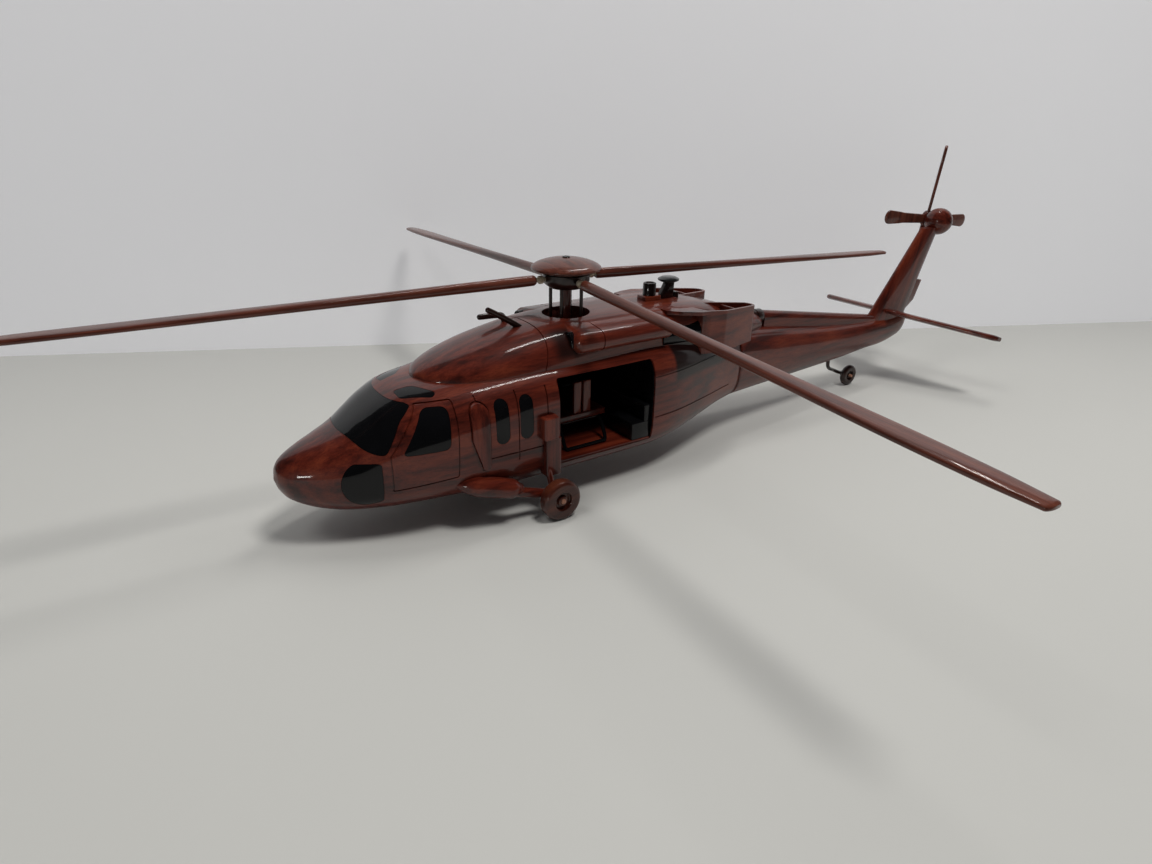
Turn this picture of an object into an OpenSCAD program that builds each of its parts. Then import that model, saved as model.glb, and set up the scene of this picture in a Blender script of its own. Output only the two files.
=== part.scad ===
// Wooden scale model of a twin-engine utility helicopter.
// Frame: +Z up, nose towards -Y, port side +X. The origin is on the ground, straight below the rotor mast.

/* [Main rotor] */
// Radius from the mast axis to a blade tip
rotor_radius = 312; // [290:1:330]
// Height of the blade roots above the ground
rotor_height = 133; // [131:0.5:136]
// Turn of the whole rotor about the mast at rest, in degrees
rotor_azimuth = -3.3; // [-45:0.1:45]
// Width of a main blade
blade_chord = 13; // [10:0.5:16]
// Thickness of a main blade
blade_thick = 3.4; // [2.5:0.1:4]
// Droop of the port, aft, starboard and forward blades, in degrees
blade_droop = [2.27, 1.72, 2.1, 0.2];
// Height of each blade's root above the rotor height, in the same order
blade_lift = [1.5, 2.6, 0.8, 1.6];
// Radius of the wooden mast
mast_radius = 3.3; // [2.5:0.1:4]

/* [Tail rotor] */
// Radius from the hub centre to a blade tip
tail_rotor_radius = 65; // [55:1:70]
// Width of a tail blade
tail_blade_chord = 12; // [8:0.5:14]
// Upward cant of the tail rotor axis, in degrees
tail_rotor_cant = 1.5; // [0:0.5:12]
// Turn of the tail rotor about its axis at rest, in degrees
tail_rotor_azimuth = 5; // [-45:1:45]

/* [Landing gear] */
// Radius of a main wheel
wheel_radius = 13; // [12:0.5:14]
// Width of a main wheel
wheel_width = 9; // [7:0.5:10]
// Distance from the centreline to the middle of a main wheel
wheel_offset = 62; // [61:0.5:64]
// Radius of the tail wheel
tail_wheel_radius = 9.5; // [8.5:0.5:10]
// Radius of the wooden axles
axle_radius = 1.6; // [1.2:0.1:2]
// Gap between a turning part and the part that it turns on
running_gap = 0.05; // [0.02:0.01:0.09]

/* [Airframe] */
// Half the width of the cabin
cabin_half = 49; // [47:0.5:50]
// Height of the cabin roof
roof_height = 91; // [90:0.5:92]
// Height of the flat underside
keel_height = 18; // [17.5:0.5:19]
// Span of the stabilator
stabilator_span = 182; // [165:1:190]
// Depth of the engraved panel lines
groove_depth = 0.7; // [0.4:0.1:1]
// Width of the engraved panel lines
groove_width = 0.8; // [0.5:0.1:1.2]

/* [Hidden] */

mahogany = [0.36, 0.09, 0.05];
dark_wood = [0.14, 0.05, 0.04];
pale_wood = [0.62, 0.33, 0.22];
gloss_black = [0.015, 0.015, 0.02];
bone = [0.80, 0.72, 0.60];

ring_points = 26; // points round one lofted section
loft_steps = 2;   // sections between two stations

// Each station is [y, half width, underside, top, squareness]; 2 is an ellipse, and more is boxier.
fuselage_stations = [
    [-194.5, 0.6, 40.8, 42, 2],
    [-193, 6, 35.2, 48, 2],
    [-188.5, 12.5, 28.4, 53, 2.05],
    [-178, 20.5, 22, 57.8, 2.2],
    [-167, 27, 18.3, 61.5, 2.3],
    [-155.5, 32.5, 16.2, 66, 2.4],
    [-145, 36.5, 15.2, 73, 2.5],
    [-135.5, 40, 14.6, 79, 2.6],
    [-123, 43.5, 14.4, 84.6, 2.7],
    [-106, cabin_half - 2.5, 14.6, roof_height - 3.8, 2.9],
    [-85, cabin_half - 0.5, 15.2, roof_height - 2, 3.4],
    [-60, cabin_half, 16, roof_height - 0.6, 4],
    [-32, cabin_half, 17, roof_height, 4.5],
    [42, cabin_half - 0.5, 17.4, roof_height, 4.5],
    [64, cabin_half - 3, 18, roof_height, 4],
    [95, 38, 21, roof_height - 2, 3.4],
    [122, 30, 24.5, 85.5, 3],
    [144, 24, 26.5, 82, 2.8]
];
boom_stations = [
    [144, 24, 26.5, 82, 2.8],
    [170, 21, 26.8, 78.5, 2.6],
    [205, 18, 27.5, 74, 2.4],
    [245, 15, 29, 68.5, 2.3],
    [290, 12, 31, 63.5, 2.2],
    [325, 9.8, 34, 61, 2.2],
    [350, 8, 35, 60.5, 2.2],
    [368, 6.8, 38.5, 61.5, 2.2],
    [379, 5.4, 42.5, 62.5, 2.2],
    [385, 3, 49, 60.5, 2],
    [387, 0.6, 53.5, 56, 2]
];
cowl_stations = [
    [-109, 4, 84, 88.5, 2],
    [-105, 14, 80, 92, 2],
    [-98, 21.5, 77, 95.5, 2],
    [-86, 29, 74, 99.5, 2],
    [-70, 34, 70, 104, 2.1],
    [-50, 36.5, 66, 108, 2.3],
    [-25, 37.5, 64, 110.8, 2.8],
    [0, 37, 63, 112, 3.2],
    [40, 35, 63, 112, 3.8],
    [62, 34, 64, 111.6, 4.4],
    [85, 33, 65, 110.8, 4.6],
    [105, 29, 66, 108.6, 3.6],
    [130, 22, 67, 103, 2.6],
    [160, 14, 68, 93, 2.2],
    [182, 7, 70, 86.5, 2]
];

// A main blade's stations along its length: a round root that flattens into a thin lens.
blade_stations = [
    [22.5, 2.6, -2.6, 2.6, 2],
    [24, 3.3, -3.3, 3.3, 2],
    [60, 3.4, -3.2, 3.2, 2],
    [130, 3.9, -2.6, 2.6, 2.4],
    [200, 5.2, -2.1, 2.1, 3],
    [255, blade_chord / 2, -blade_thick / 2, blade_thick / 2, 3.2],
    [292, blade_chord / 2 - 0.8, -blade_thick / 2, blade_thick / 2, 3.2],
    [rotor_radius, 4.4, -1.4, 1.4, 3]
];

// The blades are carved by hand: each one's length against the stations, in the order of the droop
blade_length = [1, 0.985, 1, 1];

cabin_front = -35;
cabin_rear = 40;
cabin_floor_z = 28.6;
cabin_ceiling = 84.8;
lining = 0.8;
deck_top = 112.3;
deck_hole_radius = 15.9;
deck_hole_floor = 101;
bush_radius = 6.5;
seam_y = 144;
gearbox = [0, 412, 142.7];
gearbox_radius = 11.9;
tail_rotor_at = gearbox + [0, 3.5, 0];
tail_rotor_reach = 14.4;
tail_hub_radius = 7.5;
upright_pitch = 33;
wheel_y = -42.8;
tail_wheel_y = 315.5;
tail_strut_radius = 1.6;
tail_eye_radius = 2.4;
hub_ring_radius = 15.5;
hub_ring_low = 128.3;
hub_ring_high = 137.2;
pin_radius = 1.4;
tail_pin_radius = 1.2;
probe_radius = 1.9;
bead = 0.1; // how much the ball at a bend is larger than its rod
pushrod_circle = 10.4;
pane_proud = 0.35;

/* Shared shapes */

// A straight round rod between two points, tapered if it has a second radius
module rod(from, to, r, r_end = 0, $fn = 48) {
    run = to - from;
    length = norm(run);
    translate(from)
        rotate([0, acos(run.z / length), atan2(run.y, run.x)])
            cylinder(r1 = r, r2 = r_end > 0 ? r_end : r, h = length);
}

// Draws its children on the port side and mirrored on the starboard side
module both_sides() {
    children();
    mirror([1, 0, 0]) children();
}

// Pushes a shape drawn as [y, z] outward from the centreline to port
module side_prism(depth = 80) {
    rotate([90, 0, 90])
        linear_extrude(depth)
            children();
}

function slope(rows, i, c) =
    let(a = max(i - 1, 0), b = min(i + 1, len(rows) - 1))
    (rows[b][c] - rows[a][c]) / (rows[b][0] - rows[a][0]);

// A smooth cubic between two values with given end slopes
function cubic(a, b, da, db, t) =
    a * (2 * t ^ 3 - 3 * t ^ 2 + 1) + da * (t ^ 3 - 2 * t ^ 2 + t)
    + b * (3 * t ^ 2 - 2 * t ^ 3) + db * (t ^ 3 - t ^ 2);

function between(rows, i, t) =
    let(gap = rows[i + 1][0] - rows[i][0])
    [for (c = [0 : len(rows[0]) - 1])
        cubic(rows[i][c], rows[i + 1][c], slope(rows, i, c) * gap, slope(rows, i + 1, c) * gap, t)];

function refine(rows) = [
    for (i = [0 : len(rows) - 2]) for (s = [0 : loft_steps - 1]) between(rows, i, s / loft_steps),
    rows[len(rows) - 1]
];

// One rounded section of a body, square to Y
function section(row, grow, n) =
    let(half = row[1] + grow, mid = (row[2] + row[3]) / 2, tall = (row[3] - row[2]) / 2 + grow)
    [for (k = [0 : n - 1])
        let(a = 360 * k / n, c = cos(a), s = sin(a), p = 2 / row[4])
        [half * sign(c) * pow(abs(c), p), row[0], mid + tall * sign(s) * pow(abs(s), p)]];

// Joins a row of sections into one closed skin
module loft(rows, grow = 0, n = ring_points) {
    rings = [for (r = refine(rows)) section(r, grow, n)];
    last = len(rings) - 1;
    polyhedron(
        points = [for (r = rings) each r],
        faces = [
            [for (k = [0 : n - 1]) n - 1 - k],
            for (i = [0 : last - 1]) for (k = [0 : n - 1])
                [i * n + k, i * n + (k + 1) % n, (i + 1) * n + (k + 1) % n, (i + 1) * n + k],
            [for (k = [0 : n - 1]) last * n + k]
        ]
    );
}

// The outer form of the nose and cabin, with its flat keel
module fuselage_form(grow = 0) {
    difference() {
        loft(fuselage_stations, grow);
        translate([-40, -60, 0]) cube([80, 115, keel_height - grow]);
    }
}

module boom_form(grow = 0) {
    loft(boom_stations, grow);
}

module cowl_form(grow = 0) {
    loft(cowl_stations, grow);
}

// A shell that follows the fuselage skin, from under it to above it
module skin_layer(under, over) {
    difference() {
        fuselage_form(over);
        fuselage_form(-under);
    }
}

// Marks a smooth shell that is made as one mesh, since it holds no bore, pin or mount
module smooth_shell() {
    resize([0, 0, 0]) children();
}

/* Outlines on the side of the fuselage, as [y, z] */

door_outline = [[-100.5, 82], [-120, 81], [-139, 56], [-139, 35], [-102.5, 38]];
door_window_outline = [[-104, 79.5], [-117.5, 79.5], [-133, 56], [-106.5, 56.5]];
track_lines = [[38, 117, 73], [41, 130, 44.5]]; // each is [start y, end y, z]

module door_shape() { polygon(door_outline); }

module door_window_shape() { offset(r = 3, $fn = 32) offset(delta = -3) polygon(door_window_outline); }

// The windshield as seen from the side; it wraps round the nose from one pillar to the other
module windshield_shape() {
    polygon([[-172, 65], [-156, 65], [-151, 60.3], [-146, 57.8], [-141, 57], [-130.5, 73.5],
        [-122, 80.5], [-124, 81.3], [-172, 81.3]]);
}

// A tall window with round ends
module oval_shape(y, low, high, width) {
    hull() for (z = [low + width / 2, high - width / 2]) translate([y, z]) circle(d = width, $fn = 24);
}

module chin_window_shape() {
    intersection() {
        translate([-151.5, 40.5]) scale([1, 1.02]) circle(r = 13.5, $fn = 48);
        translate([-172, 20]) square([28, 33]);
    }
}

// The groove along the edge of an outline
module edge_line() {
    difference() {
        offset(delta = groove_width / 2) children();
        offset(delta = -groove_width / 2) children();
    }
}

module track_shape(line) {
    translate([line[0], line[2] - groove_width / 2]) square([line[1] - line[0], groove_width]);
}

module cabin_opening_shape() {
    offset(r = 2, $fn = 32) offset(delta = -2)
        translate([cabin_front, cabin_floor_z])
            square([cabin_rear - cabin_front, cabin_ceiling - cabin_floor_z]);
}

module cowl_panel_line() {
    translate([-60, -43, 70]) rotate([-15.3, 0, 0]) cube([120, groove_width, 60]);
}

/* Airframe */

module fuselage() {
    color(mahogany) smooth_shell() difference() {
        fuselage_form();
        both_sides() {
            beam_recess();
            side_prism() cabin_opening_shape();
            intersection() {
                skin_layer(groove_depth, 1);
                side_prism() {
                    edge_line() door_shape();
                    for (line = track_lines) track_shape(line);
                    for (y = [-88, -64, -44]) translate([y, 40]) square([groove_width, 43]);
                    translate([-88, 45]) square([44, groove_width]);
                }
            }
        }
    }
}

// The thin joint line between the cabin block and the tail boom block
module seam_groove() {
    difference() {
        translate([-60, seam_y - 1, 0]) cube([120, 1 + groove_width, 120]);
        boom_form(-groove_depth);
    }
}

module tail_boom() {
    color(mahogany) smooth_shell() difference() {
        boom_form();
        pylon_form();
        pylon_trailing_panel();
        hull() {
            stabilator_form();
            translate([0, 0, 10]) stabilator_form();
        }
        tail_strut_socket();
        seam_groove();
    }
}

// The upright tail fin, swept back up to the gearbox
module pylon_form() {
    fin_thick = 9;
    difference() {
        hull() {
            for (p = [[326.5, 57], [380, 58], [390, 136], [408, 134]])
                translate([0, p[0], p[1]]) rotate([0, 90, 0]) cylinder(r = 2, h = 0.1, $fn = 24);
            for (p = [[337, 58], [368, 58], [395, 136], [403, 134]])
                translate([-fin_thick / 2, p[0], p[1]]) rotate([0, 90, 0])
                    cylinder(r = 2, h = fin_thick, $fn = 24);
        }
        translate(gearbox) sphere(r = gearbox_radius + 0.06, $fn = 64);
    }
}

module tail_pylon() {
    color(mahogany) smooth_shell() difference() {
        union() {
            pylon_form();
            pylon_trailing_panel();
        }
        stabilator_form();
    }
}

// The thin fixed panel behind the lower half of the fin
module pylon_trailing_panel() {
    rotate([90, 0, 90])
        translate([0, 0, -2])
            linear_extrude(4)
                polygon([[372, 60], [380, 62], [394, 72], [401, 90], [380, 92]]);
}

// A thin tapered tailplane, its trailing edge set down
module stabilator_form() {
    half = stabilator_span / 2;
    translate([0, 368, 62]) rotate([-15.5, 0, 0])
        linear_extrude(5, center = true)
            offset(r = 3, $fn = 32) offset(delta = -3)
                polygon([[-half, 17], [-9, -20], [9, -20], [half, 17], [half, 29], [0, 21], [-half, 29]]);
}

module stabilator() {
    color(mahogany) stabilator_form();
}

module tail_gearbox() {
    color(mahogany) difference() {
        translate(gearbox) sphere(r = gearbox_radius, $fn = 96);
        tail_rotor_frame() translate([0, 0, -4]) cylinder(r = 2 + running_gap, h = 40, $fn = 48);
    }
}

module driveshaft_cover() {
    color(mahogany) smooth_shell() difference() {
        hull() {
            for (x = [-5.5, 5.5]) translate([x, 186, 73]) cube([0.1, 0.1, 0.1]);
            translate([0, 186, 83]) rotate([-90, 0, 0]) cylinder(r = 5.5, h = 0.1, $fn = 32);
            translate([0, 334, 60.5]) rotate([-90, 0, 0]) cylinder(r = 4, h = 0.1, $fn = 32);
            for (x = [-4, 4]) translate([x, 334, 53.5]) cube([0.1, 0.1, 0.1]);
        }
        boom_form();
        pylon_form();
        translate([-20, 170, 60]) cube([40, 15.55, 60]);
    }
}

module driveshaft_collar() {
    color(dark_wood) difference() {
        translate([0, 179, 84]) rotate([-90, 0, 0]) cylinder(r = 5.8, h = 6.5, $fn = 64);
        boom_form();
        cowl_form();
    }
}

module top_cowl() {
    color(mahogany) smooth_shell() difference() {
        cowl_form();
        fuselage_form();
        boom_form();
        translate([0, 0, deck_hole_floor]) cylinder(r = deck_hole_radius, h = 20, $fn = 64);
        cylinder(r = bush_radius + 0.05, h = 120, $fn = 64);
        difference() {
            cowl_panel_line();
            cowl_form(-groove_depth);
        }
        beacon_base();
        antenna_stalk();
        antenna_block();
        both_sides() {
            nacelle_form();
            intake_form(0.06);
            scoop_form();
            duct_form();
        }
    }
}

// The long rounded engine housing beside the deck
module nacelle_form() {
    hull() {
        for (y = [-12, 54]) {
            translate([20, y, 103.5]) scale([1, 0.8, 1]) sphere(r = 7, $fn = 20);
            translate([35, y, 101.5]) scale([1, 0.8, 1]) sphere(r = 7, $fn = 20);
        }
    }
}

module nacelle() {
    smooth_shell() difference() {
        nacelle_form();
        fuselage_form();
        intake_form(0.06);
        difference() {
            translate([10, 2, 80]) cube([60, groove_width, 40]);
            hull() for (p = [[20, 103.5], [35, 101.5]])
                translate([p[0], -5, p[1]]) rotate([-90, 0, 0])
                    cylinder(r = 7 - groove_depth, h = 12, $fn = 32);
        }
    }
}

module nacelle_port() { color(mahogany) nacelle(); }

module nacelle_starboard() { color(mahogany) mirror([1, 0, 0]) nacelle(); }

// The dark round mouth at the front of a nacelle
module intake_form(grow = 0) {
    translate([30.5, -19.5, 101.8]) rotate([-90, 0, 0]) cylinder(r = 6.2 + grow, h = 6 + grow, $fn = 64);
}

module intake_faces() {
    color(gloss_black) both_sides() difference() {
        intake_form();
        translate([30.5, -19.6, 101.8]) rotate([-90, 0, 0]) cylinder(r = 4.8, h = 3.6, $fn = 64);
    }
}

// The black duct between a nacelle and its exhaust scoop
module duct_form() {
    translate([26, 54, 93.5]) rotate([-90, 0, 0]) cylinder(r = 9.5, h = 50, $fn = 48);
}

module exhaust_ducts() {
    color(gloss_black) smooth_shell() both_sides() difference() {
        duct_form();
        nacelle_form();
        fuselage_form();
        scoop_form();
    }
}

// Circles as [x, y, radius] that bound an exhaust scoop from above, and the flared lip ahead of it
scoop_circles = [[16, 88, 3], [33, 95, 6], [33, 107, 7.5], [27, 126, 7.5], [26.5, 140, 6.5], [16, 114, 3]];
lip_circles = [[22, 62.5, 1], [29.5, 62.5, 1], [34, 72, 1.5], [38.5, 85, 1.5], [33, 94, 6], [20, 92, 1]];
scoop_wall = 2;
scoop_depth = 8;
lip_thick = 2.5;

module outline_of(circles) {
    hull() for (c = circles) translate([c[0], c[1]]) circle(r = c[2], $fn = 28);
}

// Everything above the rim, which slopes down to the rear
module above_rim(drop = 0) {
    translate([-10, 60, 111 - drop]) rotate([-4.43, 0, 0]) translate([0, -20, 0]) cube([80, 130, 40]);
}

// The outside of a scoop: a deep body behind, and a thin flared lip that roofs the duct in front
module scoop_form() {
    difference() {
        translate([0, 0, 80]) linear_extrude(40) outline_of(scoop_circles);
        above_rim();
    }
    difference() {
        intersection() {
            translate([0, 0, 80]) linear_extrude(40) outline_of(lip_circles);
            above_rim(lip_thick);
        }
        above_rim();
    }
}

module scoop_hollow() {
    intersection() {
        translate([0, 0, 80]) linear_extrude(60) offset(delta = -scoop_wall) outline_of(scoop_circles);
        above_rim(scoop_depth);
    }
}

module exhaust_scoop() {
    smooth_shell() difference() {
        scoop_form();
        scoop_hollow();
        fuselage_form();
        boom_form();
    }
}

module exhaust_scoop_port() { color(mahogany) exhaust_scoop(); }

module exhaust_scoop_starboard() { color(mahogany) mirror([1, 0, 0]) exhaust_scoop(); }

// An upright vane across each scoop's hollow, a little below the rim
module exhaust_vanes() {
    color(mahogany) smooth_shell() both_sides() difference() {
        intersection() {
            scoop_hollow();
            translate([0, 123, 80]) cube([60, 1.6, 40]);
        }
        above_rim(1.2);
    }
}

module beacon_drum() {
    color(dark_wood) translate([0, 70, 114.6]) cylinder(r = 4.6, h = 8.7, $fn = 64);
}

module beacon_base() {
    color(mahogany) {
        translate([-5, 63, 106]) cube([10, 14, 8.6]);
        translate([-5, 77, 104]) cube([10, 15, 7]);
    }
}

module antenna_stalk() {
    color(dark_wood) translate([2.5, 0, 0]) rotate([90, 0, -90]) linear_extrude(5)
        polygon([[-90.5, 111], [-79, 111], [-79, 112], [-85, 123.5], [-91, 123.5]]);
}

module antenna_cap() {
    color(dark_wood) translate([0, 87, 123.5]) cylinder(r1 = 7.6, r2 = 5.6, h = 2.5, $fn = 64);
}

module antenna_block() {
    color(dark_wood) translate([-2.5, 92.1, 105]) cube([5, 3.4, 9.4]);
}

module pitot_port() {
    color(dark_wood) difference() {
        union() {
            rod([6, -39, 109.4], [6, -60, 122], probe_radius);
            translate([6, -60, 122]) sphere(r = probe_radius + bead, $fn = 32);
        }
        probe_cut();
    }
}

module pitot_starboard() {
    color(dark_wood) difference() {
        union() {
            rod([-10, -40, 107], [-10, -44, 113], probe_radius);
            rod([-10, -44, 113], [-10, -58, 113.6], probe_radius);
            translate([-10, -44, 113]) sphere(r = probe_radius + bead, $fn = 32);
            translate([-10, -58, 113.6]) sphere(r = probe_radius + bead, $fn = 32);
        }
        probe_cut();
    }
}

// Trims the foot of a probe level with the crown of the cowl
module probe_cut() {
    translate([-20, -60, 90]) cube([40, 40, 19.4]);
}

/* Windows: thin gloss panes laid on the fuselage skin */

module windshield() {
    color(gloss_black) smooth_shell() intersection() {
        skin_layer(0, pane_proud);
        translate([-60, 0, 0]) side_prism(120) windshield_shape();
    }
}

module roof_windows() {
    color(gloss_black) smooth_shell() intersection() {
        skin_layer(0, pane_proud);
        both_sides() translate([0, 0, 70]) linear_extrude(40)
            offset(r = 1.5, $fn = 32) offset(delta = -1.5)
                polygon([[10, -125], [12, -115], [26.5, -105.5], [29.5, -108.5], [20.5, -124.5]]);
    }
}

module chin_windows() {
    color(gloss_black) smooth_shell() intersection() {
        skin_layer(0, pane_proud);
        both_sides() translate([8, 0, 0]) side_prism() chin_window_shape();
    }
}

module door_windows() {
    color(gloss_black) smooth_shell() intersection() {
        skin_layer(0, pane_proud);
        both_sides() side_prism() door_window_shape();
    }
}

module oval_windows() {
    color(gloss_black) smooth_shell() intersection() {
        skin_layer(0, pane_proud);
        both_sides() side_prism() {
            oval_shape(-74, 53, 80, 8.6);
            oval_shape(-58, 53, 80, 8.6);
        }
    }
}

module side_blisters() {
    color(mahogany) smooth_shell() both_sides() difference() {
        side_prism(cabin_half + 2.2) hull() {
            translate([-87.8, 74.5]) circle(r = 5.2, $fn = 32);
            translate([-88.2, 60]) circle(r = 5.4, $fn = 32);
            translate([-85.4, 41]) circle(r = 2.4, $fn = 24);
        }
        fuselage_form();
        translate([0, -110, 20]) cube([30, 60, 80]);
    }
}

/* Cabin */

// The black liner of the cabin opening: a floorless band from skin to skin that follows its outline
module cabin_lining() {
    skin = 1.5;
    color(gloss_black) smooth_shell() intersection() {
        fuselage_form(-skin);
        translate([-80, 0, 0]) side_prism(160) difference() {
            offset(delta = -0.05) cabin_opening_shape();
            offset(delta = -0.05 - lining) cabin_opening_shape();
            translate([cabin_front - 1, cabin_floor_z - 1]) square([cabin_rear - cabin_front + 2, 2.5]);
        }
    }
}

module cabin_floor() {
    color(mahogany) translate([-43, cabin_front + 2, cabin_floor_z])
        cube([86, cabin_rear - cabin_front - 4, 1.5]);
}

module cabin_bench() {
    color(mahogany) translate([-23, -20, 43.5]) cube([46, 38, 4.5]);
}

module bench_backs() {
    color(mahogany) for (x = [-22, 18.5], y = [-7, 0.5]) translate([x, y, 48]) cube([3.5, 6, 22]);
}

// A bent loop that carries the bench on the floor
module seat_loop() {
    tube = 1.2;
    corners = [[22, -18, 42.18], [37, -21, 31.45], [37, 8, 31.45], [22, 13, 42.18]];
    for (i = [0 : 3]) {
        rod(corners[i], corners[(i + 1) % 4], tube, $fn = 20);
        translate(corners[i]) sphere(r = tube + bead, $fn = 20);
    }
}

module seat_frames() {
    color(gloss_black) both_sides() seat_loop();
}

module rear_bench() {
    bench_half = 46;
    color(gloss_black) difference() {
        translate([-bench_half, 24, cabin_floor_z + 1.5]) cube([2 * bench_half, 14.9, 24]);
        translate([-bench_half - 1, 23, cabin_floor_z + 14]) cube([2 * bench_half + 2, 11, 40]);
    }
}

module mast_bush() {
    color(dark_wood) difference() {
        translate([0, 0, roof_height + 0.1]) cylinder(r = bush_radius, h = 12, $fn = 96);
        translate([0, 0, roof_height - 1]) cylinder(r = mast_radius + running_gap, h = 20, $fn = 96);
    }
}

/* Landing gear */

// The fat fairing that tapers into the arm that carries a main wheel
module drag_beam_form($fn = 32) {
    toe = [43, -101, 30.5];
    knee = [47, -92, 29];
    heel = [52, -71, 24];
    translate(toe) sphere(r = 3.6);
    rod(toe, knee, 3.5, 6.2);
    translate(knee) sphere(r = 6.3);
    rod(knee, heel, 6.2);
    translate(heel) sphere(r = 6.3);
    rod(heel, [53, wheel_y, wheel_radius], 3.1);
    translate([50.4, wheel_y, wheel_radius]) rotate([0, 90, 0]) cylinder(r = 3.6, h = 5.2);
}

// The hollow in the side of the fuselage that takes the fairing, with a hair of room
module beam_recess($fn = 16) {
    hull() {
        translate([43, -101, 30.5]) sphere(r = 3.9);
        translate([47, -92, 29]) sphere(r = 6.6);
        translate([52, -71, 24]) sphere(r = 6.6);
    }
}

module axle_bore(grow) {
    translate([47, wheel_y, wheel_radius]) rotate([0, 90, 0])
        cylinder(r = axle_radius + grow, h = 30, $fn = 48);
}

module drag_beam() {
    difference() {
        drag_beam_form();
        axle_bore(0);
        strut_rod_pair();
    }
}

module drag_beam_port() { color(mahogany) drag_beam(); }

module drag_beam_starboard() { color(mahogany) mirror([1, 0, 0]) drag_beam(); }

module strut_housing() {
    smooth_shell() difference() {
        union() {
            hull() for (y = [-47.4, -40.3], z = [51.1, 63.4])
                translate([40, y, z]) rotate([0, 90, 0]) cylinder(r = 1.6, h = 14.5, $fn = 32);
            hull() for (y = [-45, -37.2], z = [26.1, 51])
                translate([40, y, z]) rotate([0, 90, 0]) cylinder(r = 1.6, h = 12.5, $fn = 32);
        }
        fuselage_form();
        side_prism() cabin_opening_shape();
        strut_rod_pair(0.05);
        drag_beam_form();
    }
}

module strut_housing_port() { color(mahogany) strut_housing(); }

module strut_housing_starboard() { color(mahogany) mirror([1, 0, 0]) strut_housing(); }

// The shock strut's rod and the thinner link beside it
module strut_rod_pair(grow = 0) {
    rod([50.5, -44.5, 30], [53, wheel_y, wheel_radius + 1], 2 + grow);
}

module strut_rods() {
    color(mahogany) both_sides() difference() {
        strut_rod_pair();
        axle_bore(0.02);
    }
}

module main_axles() {
    color(pale_wood) both_sides() translate([50.5, wheel_y, wheel_radius]) rotate([0, 90, 0])
        cylinder(r = axle_radius, h = wheel_offset + wheel_width / 2 - 50.5, $fn = 48);
}

// A solid wooden wheel turned about X, with a dished outer face
module wheel_form(radius, width, pin) {
    rotate([0, 90, 0]) difference() {
        union() {
            cylinder(r = radius - 2, h = width, center = true, $fn = 96);
            cylinder(r = radius, h = width - 4, center = true, $fn = 96);
            for (side = [-1, 1]) translate([0, 0, side * (width / 2 - 2)])
                rotate_extrude($fn = 96) translate([radius - 2, 0]) circle(r = 2, $fn = 32);
        }
        translate([0, 0, width / 2 - 1.6]) cylinder(r = radius * 0.5, h = 5, $fn = 96);
        cylinder(r = pin + running_gap, h = 30, center = true, $fn = 48);
    }
    rotate([0, 90, 0]) difference() {
        translate([0, 0, width / 2 - 1.6]) cylinder(r = radius * 0.24, h = 1.2, $fn = 64);
        cylinder(r = pin + running_gap, h = 30, center = true, $fn = 48);
    }
}

module wheel_port() {
    color(mahogany) translate([wheel_offset, wheel_y, wheel_radius])
        wheel_form(wheel_radius, wheel_width, axle_radius);
}

module wheel_starboard() {
    color(mahogany) mirror([1, 0, 0])
        translate([wheel_offset, wheel_y, wheel_radius]) wheel_form(wheel_radius, wheel_width, axle_radius);
}

// The bent rod that carries the tail wheel runs past its starboard side
tail_strut_points = [[0, 283, 36], [0, 283, 26], [-1.6, 288, 20.5], [-5.8, 300, 15.5], [-5.8, 309, 11.5],
    [-5.8, tail_wheel_y, tail_wheel_radius]];

module tail_strut_socket() {
    translate([0, 283, 20]) cylinder(r = tail_strut_radius + 0.1, h = 16, $fn = 48);
}

module tail_strut() {
    color(dark_wood) smooth_shell() difference() {
        union() {
            for (i = [0 : len(tail_strut_points) - 2]) {
                rod(tail_strut_points[i], tail_strut_points[i + 1], tail_strut_radius, $fn = 14);
                translate(tail_strut_points[i + 1]) sphere(r = tail_strut_radius + bead, $fn = 14);
            }
            translate(tail_strut_points[len(tail_strut_points) - 1]) sphere(r = tail_eye_radius, $fn = 20);
        }
        translate([-12, tail_wheel_y, tail_wheel_radius]) rotate([0, 90, 0])
            cylinder(r = tail_pin_radius + 0.02, h = 20, $fn = 48);
    }
}

module tail_axle() {
    color(pale_wood) translate([-7, tail_wheel_y, tail_wheel_radius]) rotate([0, 90, 0])
        cylinder(r = tail_pin_radius, h = 11.5, $fn = 48);
}

module tail_wheel() {
    color(dark_wood) translate([0, tail_wheel_y, tail_wheel_radius])
        wheel_form(tail_wheel_radius, 5.5, tail_pin_radius);
}

/* Main rotor */

module rotor_frame() { rotate([0, 0, rotor_azimuth]) children(); }

module mast() {
    color(mahogany) translate([0, 0, roof_height + 0.4])
        cylinder(r = mast_radius, h = hub_ring_high - roof_height - 0.4, $fn = 96);
}

module hub_ring() {
    color(dark_wood) rotor_frame() difference() {
        translate([0, 0, hub_ring_low]) rotate_extrude($fn = 96)
            polygon([[mast_radius, 0], [11.6, 0], [hub_ring_radius - 0.7, 3],
                [hub_ring_radius, hub_ring_high - hub_ring_low], [mast_radius, hub_ring_high - hub_ring_low]]);
        for (k = [0 : 3]) blade_frame(k) rotate([0, 90, 0]) cylinder(r = pin_radius, h = 40, $fn = 48);
        pushrod_set();
    }
}

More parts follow.
